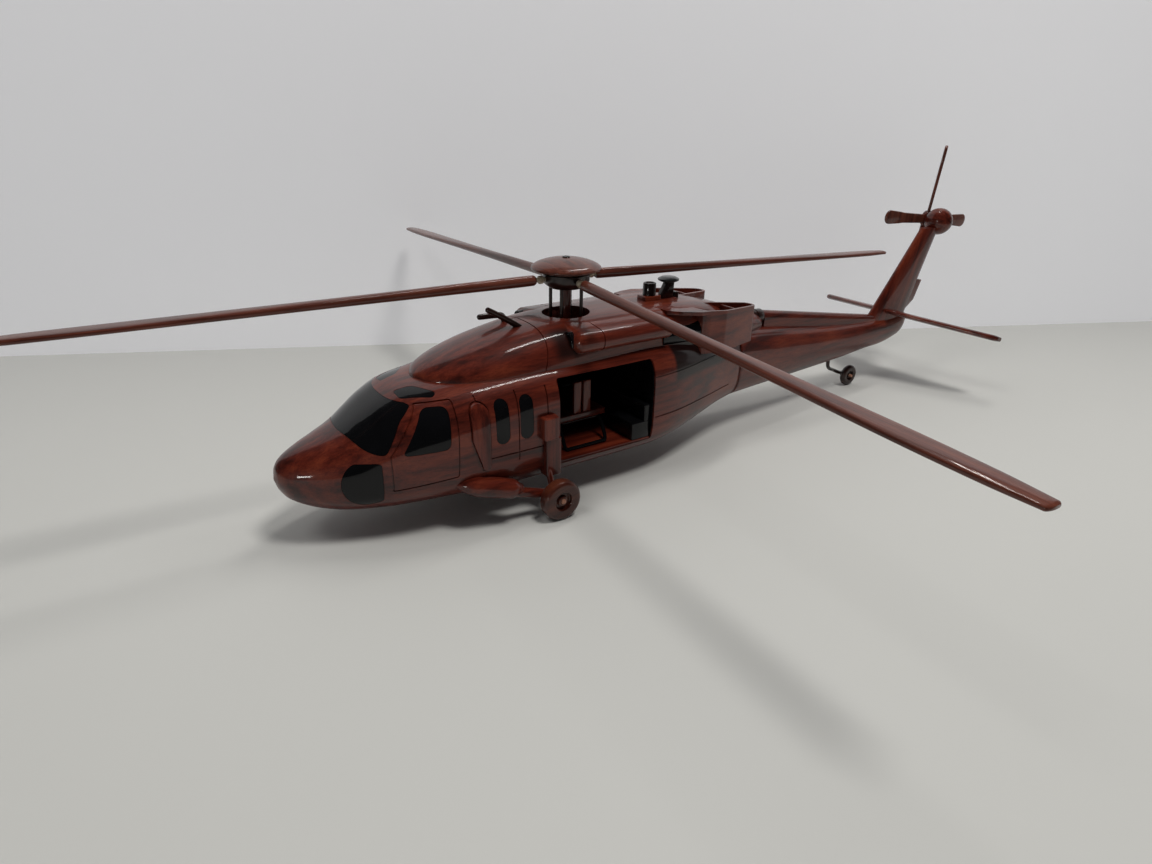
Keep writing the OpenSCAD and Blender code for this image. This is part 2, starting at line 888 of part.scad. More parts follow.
// A shallow turned dome
module hub_cap() {
    rim = 22.8;
    rim_low = 3.4;
    rim_high = 4.2;
    dome = 5.6;
    sag = (rim * rim + dome * dome) / (2 * dome);
    color(mahogany) translate([0, 0, hub_ring_high + 0.02]) difference() {
        rotate_extrude($fn = 128) union() {
            polygon([[0, 0], [hub_ring_radius - 1.5, 0], [rim, rim_low], [rim, rim_high], [0, rim_high]]);
            intersection() {
                translate([0, rim_high + dome - sag]) circle(r = sag, $fn = 256);
                translate([0, rim_high - 0.1]) square([rim, 20]);
            }
        }
        translate([0, 0, 5]) cylinder(r = 2.5, h = 20, $fn = 64);
    }
}

module cap_screw() {
    color(dark_wood) translate([0, 0, hub_ring_high + 5.02]) difference() {
        cylinder(r = 2.5, h = 5.8, $fn = 64);
        translate([-3, -0.4, 5.2]) cube([6, 0.8, 2]);
    }
}

module pushrod_set() {
    for (k = [0 : 3]) rotate([0, 0, 45 + 90 * k]) translate([pushrod_circle, 0, deck_hole_floor + 1])
        cylinder(r = 1.1, h = hub_ring_low + 3 - deck_hole_floor - 1, $fn = 48);
}

module pushrods() { color(dark_wood) rotor_frame() pushrod_set(); }

// Puts a blade drawn along +X at its place round the hub, with its droop
module blade_frame(k) {
    rotate([0, 0, 90 * k]) translate([0, 0, rotor_height + blade_lift[k]])
        rotate([0, blade_droop[k], 0]) children();
}

// One blade on its pin
module blade(k) {
    color(mahogany) rotor_frame() blade_frame(k) {
        scale([blade_length[k], 1, 1]) rotate([0, 0, -90]) loft(blade_stations, 0, 20);
        translate([mast_radius + 0.6, 0, 0]) rotate([0, 90, 0]) cylinder(r = pin_radius, h = 24, $fn = 48);
    }
}

module blade_port() { blade(0); }

module blade_aft() { blade(1); }

module blade_starboard() { blade(2); }

module blade_forward() { blade(3); }

// Pale washers on the blade pins, between the hub and the blades
module root_washers() {
    color(bone) rotor_frame() for (k = [0 : 3]) blade_frame(k)
        translate([hub_ring_radius + 1.5, 0, 0]) rotate([0, 90, 0]) difference() {
            cylinder(r = 2.6, h = 3.2, $fn = 48);
            translate([0, 0, -1]) cylinder(r = pin_radius, h = 10, $fn = 48);
        }
}

/* Tail rotor, with +Z along its axis, pointing out to starboard */

module tail_rotor_frame() {
    translate(tail_rotor_at) rotate([0, -90 + tail_rotor_cant, 0]) children();
}

module tail_rotor_shaft() {
    color(dark_wood) tail_rotor_frame() translate([0, 0, -3])
        cylinder(r = 2, h = tail_rotor_reach + 3, $fn = 48);
}

module tail_rotor_hub() {
    color(mahogany) tail_rotor_frame() translate([0, 0, tail_rotor_reach - 2.2]) difference() {
        cylinder(r = tail_hub_radius, h = 4.4, $fn = 64);
        translate([0, 0, -1]) cylinder(r = 2, h = 3.5, $fn = 48);
    }
}

// One paddle from above, wider towards its round tip
module paddle_shape() {
    hull() {
        translate([4, 0]) circle(d = tail_blade_chord - 4, $fn = 48);
        translate([tail_rotor_radius - 26, 0]) circle(d = tail_blade_chord - 3, $fn = 48);
    }
    hull() {
        translate([tail_rotor_radius - 26, 0]) circle(d = tail_blade_chord - 3, $fn = 48);
        translate([tail_rotor_radius - tail_blade_chord / 2, 0]) circle(d = tail_blade_chord, $fn = 48);
    }
}

// Two pairs of paddles on the hub; the upright pair is turned about its length
module tail_blades() {
    color(dark_wood) tail_rotor_frame() translate([0, 0, tail_rotor_reach]) difference() {
        for (k = [0 : 3]) rotate([0, 0, tail_rotor_azimuth + 90 * k])
            rotate([k % 2 == 0 ? upright_pitch : 0, 0, 0])
                translate([0, 0, -1.3]) linear_extrude(2.6) difference() {
                    paddle_shape();
                    translate([-20, -20]) square([26, 40]);
                }
        translate([0, 0, -10]) cylinder(r = tail_hub_radius + 0.03, h = 20, $fn = 64);
    }
}

fuselage();
tail_boom();
tail_pylon();
stabilator();
tail_gearbox();
driveshaft_cover();
driveshaft_collar();
top_cowl();
nacelle_port();
nacelle_starboard();
intake_faces();
exhaust_ducts();
exhaust_scoop_port();
exhaust_scoop_starboard();
exhaust_vanes();
beacon_drum();
beacon_base();
antenna_stalk();
antenna_cap();
antenna_block();
pitot_port();
pitot_starboard();
windshield();
roof_windows();
chin_windows();
door_windows();
oval_windows();
side_blisters();
cabin_lining();
cabin_floor();
cabin_bench();
bench_backs();
seat_frames();
rear_bench();
mast_bush();
drag_beam_port();
drag_beam_starboard();
strut_housing_port();
strut_housing_starboard();
strut_rods();
main_axles();
tail_strut();
tail_axle();
mast();
hub_ring();
hub_cap();
cap_screw();
pushrods();
blade_port();
blade_aft();
blade_starboard();
blade_forward();
root_washers();
tail_rotor_shaft();
tail_rotor_hub();
tail_blades();
wheel_port();
wheel_starboard();
tail_wheel();
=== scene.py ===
"""Lacquered wooden display model of a twin-engine utility helicopter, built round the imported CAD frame."""

import math

import bmesh
import bpy
import numpy as np
from mathutils import Matrix, Vector
from mathutils.bvhtree import BVHTree


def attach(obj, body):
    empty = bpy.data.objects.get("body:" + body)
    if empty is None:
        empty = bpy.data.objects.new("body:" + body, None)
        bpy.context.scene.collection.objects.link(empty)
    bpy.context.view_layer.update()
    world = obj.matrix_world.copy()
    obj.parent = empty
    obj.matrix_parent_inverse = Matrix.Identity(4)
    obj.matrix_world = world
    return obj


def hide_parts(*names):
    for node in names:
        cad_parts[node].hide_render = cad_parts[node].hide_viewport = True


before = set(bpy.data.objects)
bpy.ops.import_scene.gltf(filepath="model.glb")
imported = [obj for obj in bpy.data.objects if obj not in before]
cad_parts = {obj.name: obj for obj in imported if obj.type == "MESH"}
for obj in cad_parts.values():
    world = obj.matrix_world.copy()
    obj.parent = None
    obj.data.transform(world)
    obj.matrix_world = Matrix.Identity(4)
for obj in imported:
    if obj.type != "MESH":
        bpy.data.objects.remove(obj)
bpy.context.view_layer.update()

MM = 0.001
SCENE = bpy.context.scene

# ---------------------------------------------------------------- sections
# Each station is y, half width, underside, top and squareness, in millimetres.
FUSELAGE = [
    (-194.5, 0.6, 40.8, 42, 2),
    (-193, 6, 35.2, 48, 2),
    (-188.5, 12.5, 28.4, 53, 2.05),
    (-178, 20.5, 22, 57.8, 2.2),
    (-167, 27, 18.3, 61.5, 2.3),
    (-155.5, 32.5, 16.2, 66, 2.4),
    (-145, 36.5, 15.2, 73, 2.5),
    (-135.5, 40, 14.6, 79, 2.6),
    (-123, 43.5, 14.4, 84.6, 2.7),
    (-106, 46.5, 14.6, 87.2, 2.9),
    (-85, 48.5, 15.2, 89, 3.4),
    (-60, 49, 16, 90.4, 4),
    (-32, 49, 17, 91, 4.5),
    (42, 48.5, 17.4, 91, 4.5),
    (64, 46, 18, 91, 4),
    (95, 38, 21, 89, 3.4),
    (122, 30, 24.5, 85.5, 3),
    (144, 24, 26.5, 82, 2.8),
]
BOOM = [
    (144, 24, 26.5, 82, 2.8),
    (170, 21, 26.8, 78.5, 2.6),
    (205, 18, 27.5, 74, 2.4),
    (245, 15, 29, 68.5, 2.3),
    (290, 12, 31, 63.5, 2.2),
    (325, 9.8, 34, 61, 2.2),
    (350, 8, 35, 60.5, 2.2),
    (368, 6.8, 38.5, 61.5, 2.2),
    (379, 5.4, 42.5, 62.5, 2.2),
    (385, 3, 49, 60.5, 2),
    (387, 0.6, 53.5, 56, 2),
]
COWL = [
    (-109, 4, 84, 88.5, 2),
    (-105, 14, 80, 92, 2),
    (-98, 21.5, 77, 95.5, 2),
    (-86, 29, 74, 99.5, 2),
    (-70, 34, 70, 104, 2.1),
    (-50, 36.5, 66, 108, 2.3),
    (-25, 37.5, 64, 110.8, 2.8),
    (0, 37, 63, 112, 3.2),
    (40, 35, 63, 112, 3.8),
    (62, 34, 64, 111.6, 4.4),
    (85, 33, 65, 110.8, 4.6),
    (105, 29, 66, 108.6, 3.6),
    (130, 22, 67, 103, 2.6),
    (160, 14, 68, 93, 2.2),
    (182, 7, 70, 86.5, 2),
]
BLADE = [
    (22.5, 2.6, -2.6, 2.6, 2),
    (24, 3.3, -3.3, 3.3, 2),
    (60, 3.4, -3.2, 3.2, 2),
    (130, 3.9, -2.6, 2.6, 2.4),
    (200, 5.2, -2.1, 2.1, 3),
    (255, 6.5, -1.7, 1.7, 3.2),
    (292, 5.7, -1.7, 1.7, 3.2),
    (312, 4.4, -1.4, 1.4, 3),
]

SEAM_Y = 144
GEARBOX = Vector((0, 412, 142.7))
TAIL_ROTOR = Vector((0, 415.5, 142.7))
TAIL_CANT = 1.5
TAIL_TURN = 5
ROTOR_TURN = -3.3
ROTOR_Z = 133
DROOP = (2.27, 1.72, 2.1, 0.2)
LIFT = (1.5, 2.6, 0.8, 1.6)
BLADE_LENGTH = (1, 0.985, 1, 1)
WHEEL = Vector((62, -42.8, 13))
MAIN_AXLE = (0, -42.8, 13)
TAIL_WHEEL = Vector((0, 315.5, 9.5))
RING_LOW, RING_HIGH = 128.3, 137.2
DECK_FLOOR = 101
INTAKE = (30.5, 0, 101.8)  # a point on the port engine intake's axis
CABIN = (-35, 40, 28.6, 84.8)  # front, rear, floor and ceiling of the open cabin
FAR_PANEL = -38.8  # the black panel that closes the cabin's starboard side


# ---------------------------------------------------------------- mesh tools
def cubic(a, b, da, db, t):
    """A smooth step from a to b with the slopes da and db."""
    start, end = 2 * t**3 - 3 * t**2 + 1, 3 * t**2 - 2 * t**3
    return a * start + da * (t**3 - 2 * t**2 + t) + b * end + db * (t**3 - t**2)


def turned(degrees, axis):
    return Matrix.Rotation(math.radians(degrees), 4, axis)


def refine(rows, steps):
    """Adds smooth stations between the given ones."""
    rows = np.array(rows, float)
    out = []
    for i in range(len(rows) - 1):
        before, after = max(i - 1, 0), min(i + 2, len(rows) - 1)
        gap = rows[i + 1, 0] - rows[i, 0]
        s0 = (rows[i + 1] - rows[before]) / (rows[i + 1, 0] - rows[before, 0]) * gap
        s1 = (rows[after] - rows[i]) / (rows[after, 0] - rows[i, 0]) * gap
        for k in range(steps):
            out.append(cubic(rows[i], rows[i + 1], s0, s1, k / steps))
    out.append(rows[-1])
    return out


def rings_mesh(name, rings, closed_ends=True):
    """A skin through rings of equally many points, in millimetres."""
    n = len(rings[0])
    verts = [tuple(c * MM for c in p) for ring in rings for p in ring]
    faces = []
    for i in range(len(rings) - 1):
        for k in range(n):
            j = (k + 1) % n
            faces.append((i * n + k, i * n + j, (i + 1) * n + j, (i + 1) * n + k))
    if closed_ends:
        last = (len(rings) - 1) * n
        faces.append(tuple(range(n - 1, -1, -1)))
        faces.append(tuple(last + k for k in range(n)))
    return make(name, verts, faces)


def make(name, verts, faces):
    mesh = bpy.data.meshes.new(name)
    mesh.from_pydata(verts, [], faces)
    bm = bmesh.new()
    bm.from_mesh(mesh)
    bmesh.ops.recalc_face_normals(bm, faces=bm.faces)
    bm.to_mesh(mesh)
    bm.free()
    obj = bpy.data.objects.new(name, mesh)
    SCENE.collection.objects.link(obj)
    return obj


def squarish(n, p, q=None):
    """Points round a circle of radius 1 that is squared by the powers p across and q upward."""
    q = p if q is None else q
    out = []
    for k in range(n):
        a = 2 * math.pi * (k + 0.5) / n
        c, s = math.cos(a), math.sin(a)
        out.append((math.copysign(abs(c) ** p, c), math.copysign(abs(s) ** q, s)))
    return out


def section(row, n, grow):
    half = row[1] + grow
    mid, tall = (row[2] + row[3]) / 2, (row[3] - row[2]) / 2 + grow
    return [(half * c, row[0], mid + tall * s) for c, s in squarish(n, 2 / row[4])]


def loft(name, rows, n=144, steps=8, grow=0.0):
    return rings_mesh(name, [section(r, n, grow) for r in refine(rows, steps)])


def fillet(points, radius, steps=8):
    """Rounds the corners of a closed outline; radius is one number or one for each corner."""
    radii = radius if isinstance(radius, (list, tuple)) else [radius] * len(points)
    out = []
    for i, p in enumerate(points):
        p = Vector(p[:2])
        a = (Vector(points[i - 1][:2]) - p)
        b = (Vector(points[(i + 1) % len(points)][:2]) - p)
        reach = min(radii[i], a.length * 0.48, b.length * 0.48)
        if reach <= 1e-6:
            out.append(tuple(p))
            continue
        start, end = p + a.normalized() * reach, p + b.normalized() * reach
        for k in range(steps + 1):
            t = k / steps
            q = start * (1 - t) ** 2 + p * 2 * t * (1 - t) + end * t**2
            out.append(tuple(q))
    return out


def grown(points, amount):
    """Moves a closed outline outward by amount."""
    area = sum(p[0] * q[1] - q[0] * p[1] for p, q in zip([points[-1]] + points[:-1], points))
    side = 1 if area > 0 else -1
    out = []
    count = len(points)
    for i in range(count):
        p = Vector(points[i])
        a, b = p - Vector(points[i - 1]), Vector(points[(i + 1) % count]) - p
        if a.length < 1e-9 or b.length < 1e-9:
            out.append(tuple(p))
            continue
        na = Vector((a.y, -a.x)).normalized() * side
        nb = Vector((b.y, -b.x)).normalized() * side
        m = na + nb
        m = m.normalized() if m.length > 1e-6 else na
        out.append(tuple(p + m * amount / max(m.dot(na), 0.4)))
    return out


def rectangle(u0, u1, v0, v1):
    return [(u0, v0), (u1, v0), (u1, v1), (u0, v1)]


AXES = {
    "x": lambda u, v, w: (w, u, v),  # outline in y, z
    "y": lambda u, v, w: (u, w, v),  # outline in x, z
    "z": lambda u, v, w: (u, v, w),  # outline in x, y
}


def prism(name, outline, low, high, axis="x"):
    """A straight solid over an outline; low and high may be functions of the outline's point."""
    place = AXES[axis]
    at = lambda h, p: h(*p) if callable(h) else h
    rings = [
        [place(p[0], p[1], at(low, p)) for p in outline],
        [place(p[0], p[1], at(high, p)) for p in outline],
    ]
    return rings_mesh(name, rings)


def lathe(name, profile, n=96, centre=(0, 0, 0), axis=(0, 0, 1)):
    """Turns a profile of (radius, height) points about an axis; a profile may start and end on it."""
    turn = Vector((0, 0, 1)).rotation_difference(Vector(axis)).to_matrix()
    verts, faces, rows = [], [], []
    for r, h in profile:
        if r < 1e-6:
            rows.append([len(verts)])
            verts.append(turn @ Vector((0, 0, h)) + Vector(centre))
        else:
            rows.append(list(range(len(verts), len(verts) + n)))
            for k in range(n):
                a = 2 * math.pi * k / n
                verts.append(turn @ Vector((r * math.cos(a), r * math.sin(a), h)) + Vector(centre))
    closed = len(rows[0]) > 1
    pairs = list(zip(rows, rows[1:])) + ([(rows[-1], rows[0])] if closed else [])
    for a, b in pairs:
        for k in range(n):
            j = (k + 1) % n
            if len(a) == 1 and len(b) == 1:
                continue
            if len(a) == 1:
                faces.append((a[0], b[j], b[k]))
            elif len(b) == 1:
                faces.append((a[k], a[j], b[0]))
            else:
                faces.append((a[k], a[j], b[j], b[k]))
    return make(name, [tuple(v * MM for v in p) for p in verts], faces)


def disc(name, radius, low, high, n=64, **place):
    return lathe(name, [(0, low), (radius, low), (radius, high), (0, high)], n=n, **place)


def arc(cx, cy, r, start, end, steps=8, ry=None):
    """Points of an arc in a lathe profile, angles in degrees."""
    ry = r if ry is None else ry
    angles = [math.radians(start + (end - start) * k / steps) for k in range(steps + 1)]
    return [(cx + r * math.cos(a), cy + ry * math.sin(a)) for a in angles]


def tube(name, points, radii, n=24, steps=8, closed=False):
    """A round rod along a smooth path, with its own radius at each point and domed ends."""
    pts = [Vector(p) for p in points]
    radii = radii if isinstance(radii, (list, tuple)) else [radii] * len(pts)
    path, rad = [], []
    count = len(pts)
    spans = count if closed else count - 1
    for i in range(spans):
        p1, p2 = pts[i], pts[(i + 1) % count]
        p0 = pts[i - 1] if closed or i > 0 else p1
        p3 = pts[(i + 2) % count] if closed or i + 2 < count else p2
        for k in range(steps):
            t = k / steps
            path.append(cubic(p1, p2, (p2 - p0) * 0.5, (p3 - p1) * 0.5, t))
            rad.append(radii[i] * (1 - t) + radii[(i + 1) % count] * t)
    if not closed:
        path.append(pts[-1])
        rad.append(radii[-1])
    rings = []
    side = None
    total = len(path)
    for i, p in enumerate(path):
        a = path[i - 1] if closed or i > 0 else p
        b = path[(i + 1) % total] if closed or i + 1 < total else p
        d = (b - a).normalized()
        if side is None:
            side = d.orthogonal().normalized()
        side = (side - d * side.dot(d)).normalized()
        other = d.cross(side)
        rings.append((p, d, side.copy(), other, rad[i]))
    out = []

    def ring(p, side, other, r):
        return [
            tuple(p + (side * math.cos(a) + other * math.sin(a)) * r)
            for a in (2 * math.pi * k / n for k in range(n))
        ]

    if closed:
        for p, d, s, o, r in rings:
            out.append(ring(p, s, o, r))
        out.append(out[0])
        mesh = rings_mesh(name, out, closed_ends=False)
        weld(mesh)
        return mesh
    p, d, s, o, r = rings[0]
    for k in range(1, 6):
        a = math.pi / 2 * k / 6
        out.append(ring(p - d * r * math.cos(a) * 0.9, s, o, r * math.sin(a)))
    for p, d, s, o, r in rings:
        out.append(ring(p, s, o, r))
    for k in range(5, 0, -1):
        a = math.pi / 2 * k / 6
        out.append(ring(p + d * r * math.cos(a) * 0.9, s, o, r * math.sin(a)))
    return rings_mesh(name, out)


def weld(obj, distance=1e-6):
    bm = bmesh.new()
    bm.from_mesh(obj.data)
    bmesh.ops.remove_doubles(bm, verts=bm.verts, dist=distance)
    bmesh.ops.recalc_face_normals(bm, faces=bm.faces)
    bm.to_mesh(obj.data)
    bm.free()


def block(name, low, high, bevel=0.6, segments=3):
    """A box with rounded edges."""
    lo, hi = Vector(low), Vector(high)
    corners = [(x, y, z) for x in (lo.x, hi.x) for y in (lo.y, hi.y) for z in (lo.z, hi.z)]
    faces = [(0, 1, 3, 2), (4, 6, 7, 5), (0, 4, 5, 1), (2, 3, 7, 6), (0, 2, 6, 4), (1, 5, 7, 3)]
    obj = make(name, [tuple(c * MM for c in p) for p in corners], faces)
    return rounded(obj, bevel, segments) if bevel else obj


def rounded(obj, width, segments=3, angle=30):
    """Rounds an object's sharp edges for good."""
    mod = obj.modifiers.new("edges", "BEVEL")
    mod.width = width * MM
    mod.segments = segments
    mod.limit_method = "ANGLE"
    mod.angle_limit = math.radians(angle)
    mod.harden_normals = False
    bake(obj)
    return obj


def bake(obj):
    """Applies an object's modifiers."""
    bpy.context.view_layer.update()
    graph = bpy.context.evaluated_depsgraph_get()
    mesh = bpy.data.meshes.new_from_object(obj.evaluated_get(graph), depsgraph=graph)
    old = obj.data
    obj.modifiers.clear()
    obj.data = mesh
    bpy.data.meshes.remove(old)


def drop(*objs):
    for o in objs:
        data = o.data
        bpy.data.objects.remove(o)
        if data.users == 0:
            bpy.data.meshes.remove(data)


def cut(obj, others, how="DIFFERENCE"):
    """Cuts, joins or meets obj with other closed meshes, and removes those."""
    for other in others:
        mod = obj.modifiers.new("cut", "BOOLEAN")
        mod.operation = how
        mod.solver = "MANIFOLD"
        mod.object = other
        bake(obj)
    drop(*others)
    return obj


def clone(obj, name, mirror=False):
    mesh = obj.data.copy()
    mesh.name = name
    if mirror:
        mesh.transform(Matrix.Scale(-1, 4, Vector((1, 0, 0))))
        mesh.flip_normals()
    out = bpy.data.objects.new(name, mesh)
    SCENE.collection.objects.link(out)
    return out


def merge(obj, others):
    """Adds other closed shells to obj's own mesh."""
    bm = bmesh.new()
    bm.from_mesh(obj.data)
    for other in others:
        bm.from_mesh(other.data)
    bm.to_mesh(obj.data)
    bm.free()
    drop(*others)
    return obj


class Form:
    """A smooth uncut skin, kept to give its normals to the piece that is cut from it."""

    def __init__(self, obj):
        mesh = obj.data
        mesh.calc_loop_triangles()
        self.verts = [v.co.copy() for v in mesh.vertices]
        self.normals = [v.normal.copy() for v in mesh.vertices]
        self.tris = [tuple(t.vertices) for t in mesh.loop_triangles]
        self.tree = BVHTree.FromPolygons(self.verts, self.tris)

    def normal_at(self, point):
        loc, normal, index, gap = self.tree.find_nearest(point)
        if loc is None:
            return None, 1.0
        a, b, c = self.tris[index]
        pa, pb, pc = self.verts[a], self.verts[b], self.verts[c]
        wa = (pb - loc).cross(pc - loc).length
        wb = (pc - loc).cross(pa - loc).length
        wc = (pa - loc).cross(pb - loc).length
        n = self.normals[a] * wa + self.normals[b] * wb + self.normals[c] * wc
        return (n.normalized() if n.length > 0 else normal), gap


def shade(obj, forms=(), angle=38, tolerance=0.06):
    """Smooth shading with crisp edges; skin faces take the normals of the uncut forms."""
    mesh = obj.data
    mesh.shade_smooth()
    mesh.set_sharp_from_angle(angle=math.radians(angle))
    if not forms:
        return obj
    normals = [Vector(c.vector) for c in mesh.corner_normals]
    for poly in mesh.polygons:
        for form in forms:
            n, gap = form.normal_at(poly.center)
            if gap < tolerance * MM and n.dot(poly.normal) > 0.9:
                for li in poly.loop_indices:
                    co = mesh.vertices[mesh.loops[li].vertex_index].co
                    normals[li] = form.normal_at(co)[0]
                break
    mesh.normals_split_custom_set([tuple(n) for n in normals])
    return obj


def grain(obj, along=(0, 1, 0), up=(0, 0, 1), seed=0.0):
    """Stores where each point lies along and across the wood, in metres."""
    a = Vector(along).normalized()
    c = Vector(up)
    c = (c - a * c.dot(a)).normalized()
    b = c.cross(a)
    co = np.empty(len(obj.data.vertices) * 3)
    obj.data.vertices.foreach_get("co", co)
    co = co.reshape(-1, 3)
    out = np.stack([co @ np.array(a), co @ np.array(b), co @ np.array(c)], 1)
    out += np.array([seed * 0.37, seed * 0.11, seed * 0.053])
    attribute = obj.data.attributes.get("grain") or obj.data.attributes.new(
        "grain", "FLOAT_VECTOR", "POINT"
    )
    attribute.data.foreach_set("vector", out.astype(np.float32).ravel())


# ---------------------------------------------------------------- materials
class Nodes:
    """Small helper that builds a node material."""

    def __init__(self, name):
        self.mat = bpy.data.materials.new(name)
        self.mat.use_nodes = True
        self.tree = self.mat.node_tree
        self.tree.nodes.clear()

    def add(self, kind, **values):
        node = self.tree.nodes.new(kind)
        for key, value in values.items():
            if hasattr(node, key):
                setattr(node, key, value)
            else:
                node.inputs[key.replace("_", " ")].default_value = value
        return node

    def link(self, source, target):
        self.tree.links.new(source, target)

    def feed(self, socket, value):
        """Links another node's output into a socket, or sets the socket to a value."""
        if isinstance(value, bpy.types.NodeSocket):
            self.link(value, socket)
        else:
            socket.default_value = (*value, 1) if socket.type == "RGBA" else value

    def ramp(self, source, stops):
        node = self.add("ShaderNodeValToRGB")
        elements = node.color_ramp.elements
        while len(elements) < len(stops):
            elements.new(0.5)
        for element, (at, colour) in zip(elements, stops):
            element.position = at
            element.color = (*colour, 1)
        self.link(source, node.inputs["Fac"])
        return node.outputs["Color"]

    def noise(self, vector, scale, stretch=(1, 1, 1), detail=4.0, rough=0.5, distort=0.0):
        mapping = self.add("ShaderNodeMapping")
        mapping.inputs["Scale"].default_value = stretch
        self.link(vector, mapping.inputs["Vector"])
        node = self.add("ShaderNodeTexNoise", Scale=scale, Detail=detail, Roughness=rough, Distortion=distort)
        self.link(mapping.outputs["Vector"], node.inputs["Vector"])
        return node.outputs["Fac"]

    def mix(self, mode, factor, a, b):
        node = self.add("ShaderNodeMix", data_type="RGBA", blend_type=mode)
        for socket, value in ((node.inputs[0], factor), (node.inputs[6], a), (node.inputs[7], b)):
            self.feed(socket, value)
        return node.outputs[2]

    def math(self, operation, a, b=0.0):
        node = self.add("ShaderNodeMath", operation=operation)
        self.feed(node.inputs[0], a)
        self.feed(node.inputs[1], b)
        return node.outputs[0]

    def inside(self, spans, soft, strength):
        """The given strength inside a box that is mirrored in x, and zero outside; spans in millimetres."""
        place = self.add("ShaderNodeTexCoord").outputs["Object"]
        split = self.add("ShaderNodeSeparateXYZ")
        self.link(place, split.inputs[0])
        whole = strength
        for axis, (low, high) in enumerate(spans):
            value = split.outputs[axis]
            if axis == 0:
                value = self.math("ABSOLUTE", value)
            for edge, side in ((low, 1), (high, -1)):
                ramp = self.add("ShaderNodeMapRange", interpolation_type="SMOOTHSTEP")
                ramp.inputs["From Min"].default_value = edge * MM - soft * side
                ramp.inputs["From Max"].default_value = edge * MM + soft * side
                self.link(value, ramp.inputs["Value"])
                whole = self.math("MULTIPLY", ramp.outputs["Result"], whole)
        return whole

    def bump(self, height, strength, distance, normal=None):
        node = self.add("ShaderNodeBump")
        node.inputs["Strength"].default_value = strength
        node.inputs["Distance"].default_value = distance
        self.link(height, node.inputs["Height"])
        if normal is not None:
            self.link(normal, node.inputs["Normal"])
        return node.outputs["Normal"]

    def finish(self, colour, roughness, normal=None, coat=0.0, coat_rough=0.03, coat_normal=None, **more):
        shader = self.add("ShaderNodeBsdfPrincipled")
        out = self.add("ShaderNodeOutputMaterial")
        for name, value in (
            ("Base Color", colour),
            ("Roughness", roughness),
            ("Normal", normal),
            ("Coat Weight", coat),
            ("Coat Roughness", coat_rough),
            ("Coat Normal", coat_normal),
            *more.items(),
        ):
            if value is not None:
                self.feed(shader.inputs[name.replace("_", " ")], value)
        self.link(shader.outputs["BSDF"], out.inputs["Surface"])
        return self.mat


def wood(name, dark, middle, light, gloss=1.0, coat_rough=0.035, painted=()):
    """Open-pored reddish hardwood under a thick clear lacquer."""
    n = Nodes(name)
    at = n.add("ShaderNodeAttribute", attribute_name="grain").outputs["Vector"]
    broad = n.noise(at, 1.0, (7, 70, 70), detail=3, rough=0.55, distort=0.8)
    bands = n.noise(at, 1.0, (10, 260, 260), detail=5, rough=0.6, distort=0.4)
    fibre = n.noise(at, 1.0, (60, 1500, 1500), detail=3, rough=0.6)
    pores = n.noise(at, 1.0, (170, 2600, 2600), detail=2, rough=0.5)
    tone = n.math("ADD", n.math("MULTIPLY", broad, 0.55), n.math("MULTIPLY", bands, 0.45))
    colour = n.ramp(tone, [(0.38, dark), (0.5, middle), (0.62, light)])
    streak = n.ramp(fibre, [(0.36, (0.62, 0.58, 0.56)), (0.58, (1, 1, 1))])
    colour = n.mix("MULTIPLY", 0.75, colour, streak)
    pore = n.ramp(pores, [(0.30, (0.30, 0.26, 0.24)), (0.38, (1, 1, 1))])
    colour = n.mix("MULTIPLY", 0.6, colour, pore)
    # Each listed area is mixed toward near black; the list holds both black paint and painted shade.
    for spans, soft, strength in painted:
        colour = n.mix("MIX", n.inside(spans, soft, strength), colour, (0.005, 0.003, 0.003))
    rough = n.math("ADD", n.math("MULTIPLY", bands, 0.18), 0.34)
    under = n.bump(fibre, 0.25, 0.0002)
    ripple = n.noise(at, 1.0, (55, 120, 120), detail=2, rough=0.5)
    fine = n.noise(at, 1.0, (420, 1500, 1500), detail=2, rough=0.6)
    height = n.math("ADD", ripple, n.math("MULTIPLY", fine, 0.06))
    top = n.bump(height, 0.35, 0.00025)
    dust = n.noise(at, 1.0, (900, 900, 900), detail=2, rough=0.6)
    coat = n.math("ADD", n.math("MULTIPLY", dust, 0.04), coat_rough)
    return n.finish(
        colour, rough, under, gloss * 0.6, coat, top, Coat_IOR=1.5, Specular_IOR_Level=0.2
    )


def lacquer_black(name, tint=(0.0022, 0.0022, 0.0026)):
    n = Nodes(name)
    at = n.add("ShaderNodeTexCoord").outputs["Object"]
    cloud = n.noise(at, 1.0, (90, 90, 90), detail=3)
    colour = n.mix("MIX", cloud, tint, tuple(c * 2.2 for c in tint))
    ripple = n.noise(at, 1.0, (130, 130, 130), detail=2)
    rough = n.math("ADD", n.math("MULTIPLY", cloud, 0.10), 0.10)
    return n.finish(
        colour, rough, n.bump(ripple, 0.25, 0.0002), 0.35, 0.03, n.bump(ripple, 0.12, 0.0002),
        Specular_IOR_Level=0.1,
    )


def bone_washer(name):
    n = Nodes(name)
    at = n.add("ShaderNodeTexCoord").outputs["Object"]
    cloud = n.noise(at, 1.0, (260, 260, 260), detail=4, rough=0.6)
    colour = n.ramp(cloud, [(0.35, (0.25, 0.17, 0.10)), (0.5, (0.50, 0.42, 0.30)), (0.7, (0.62, 0.56, 0.44))])
    return n.finish(colour, 0.45, n.bump(cloud, 0.5, 0.0008), 0.25, 0.2)


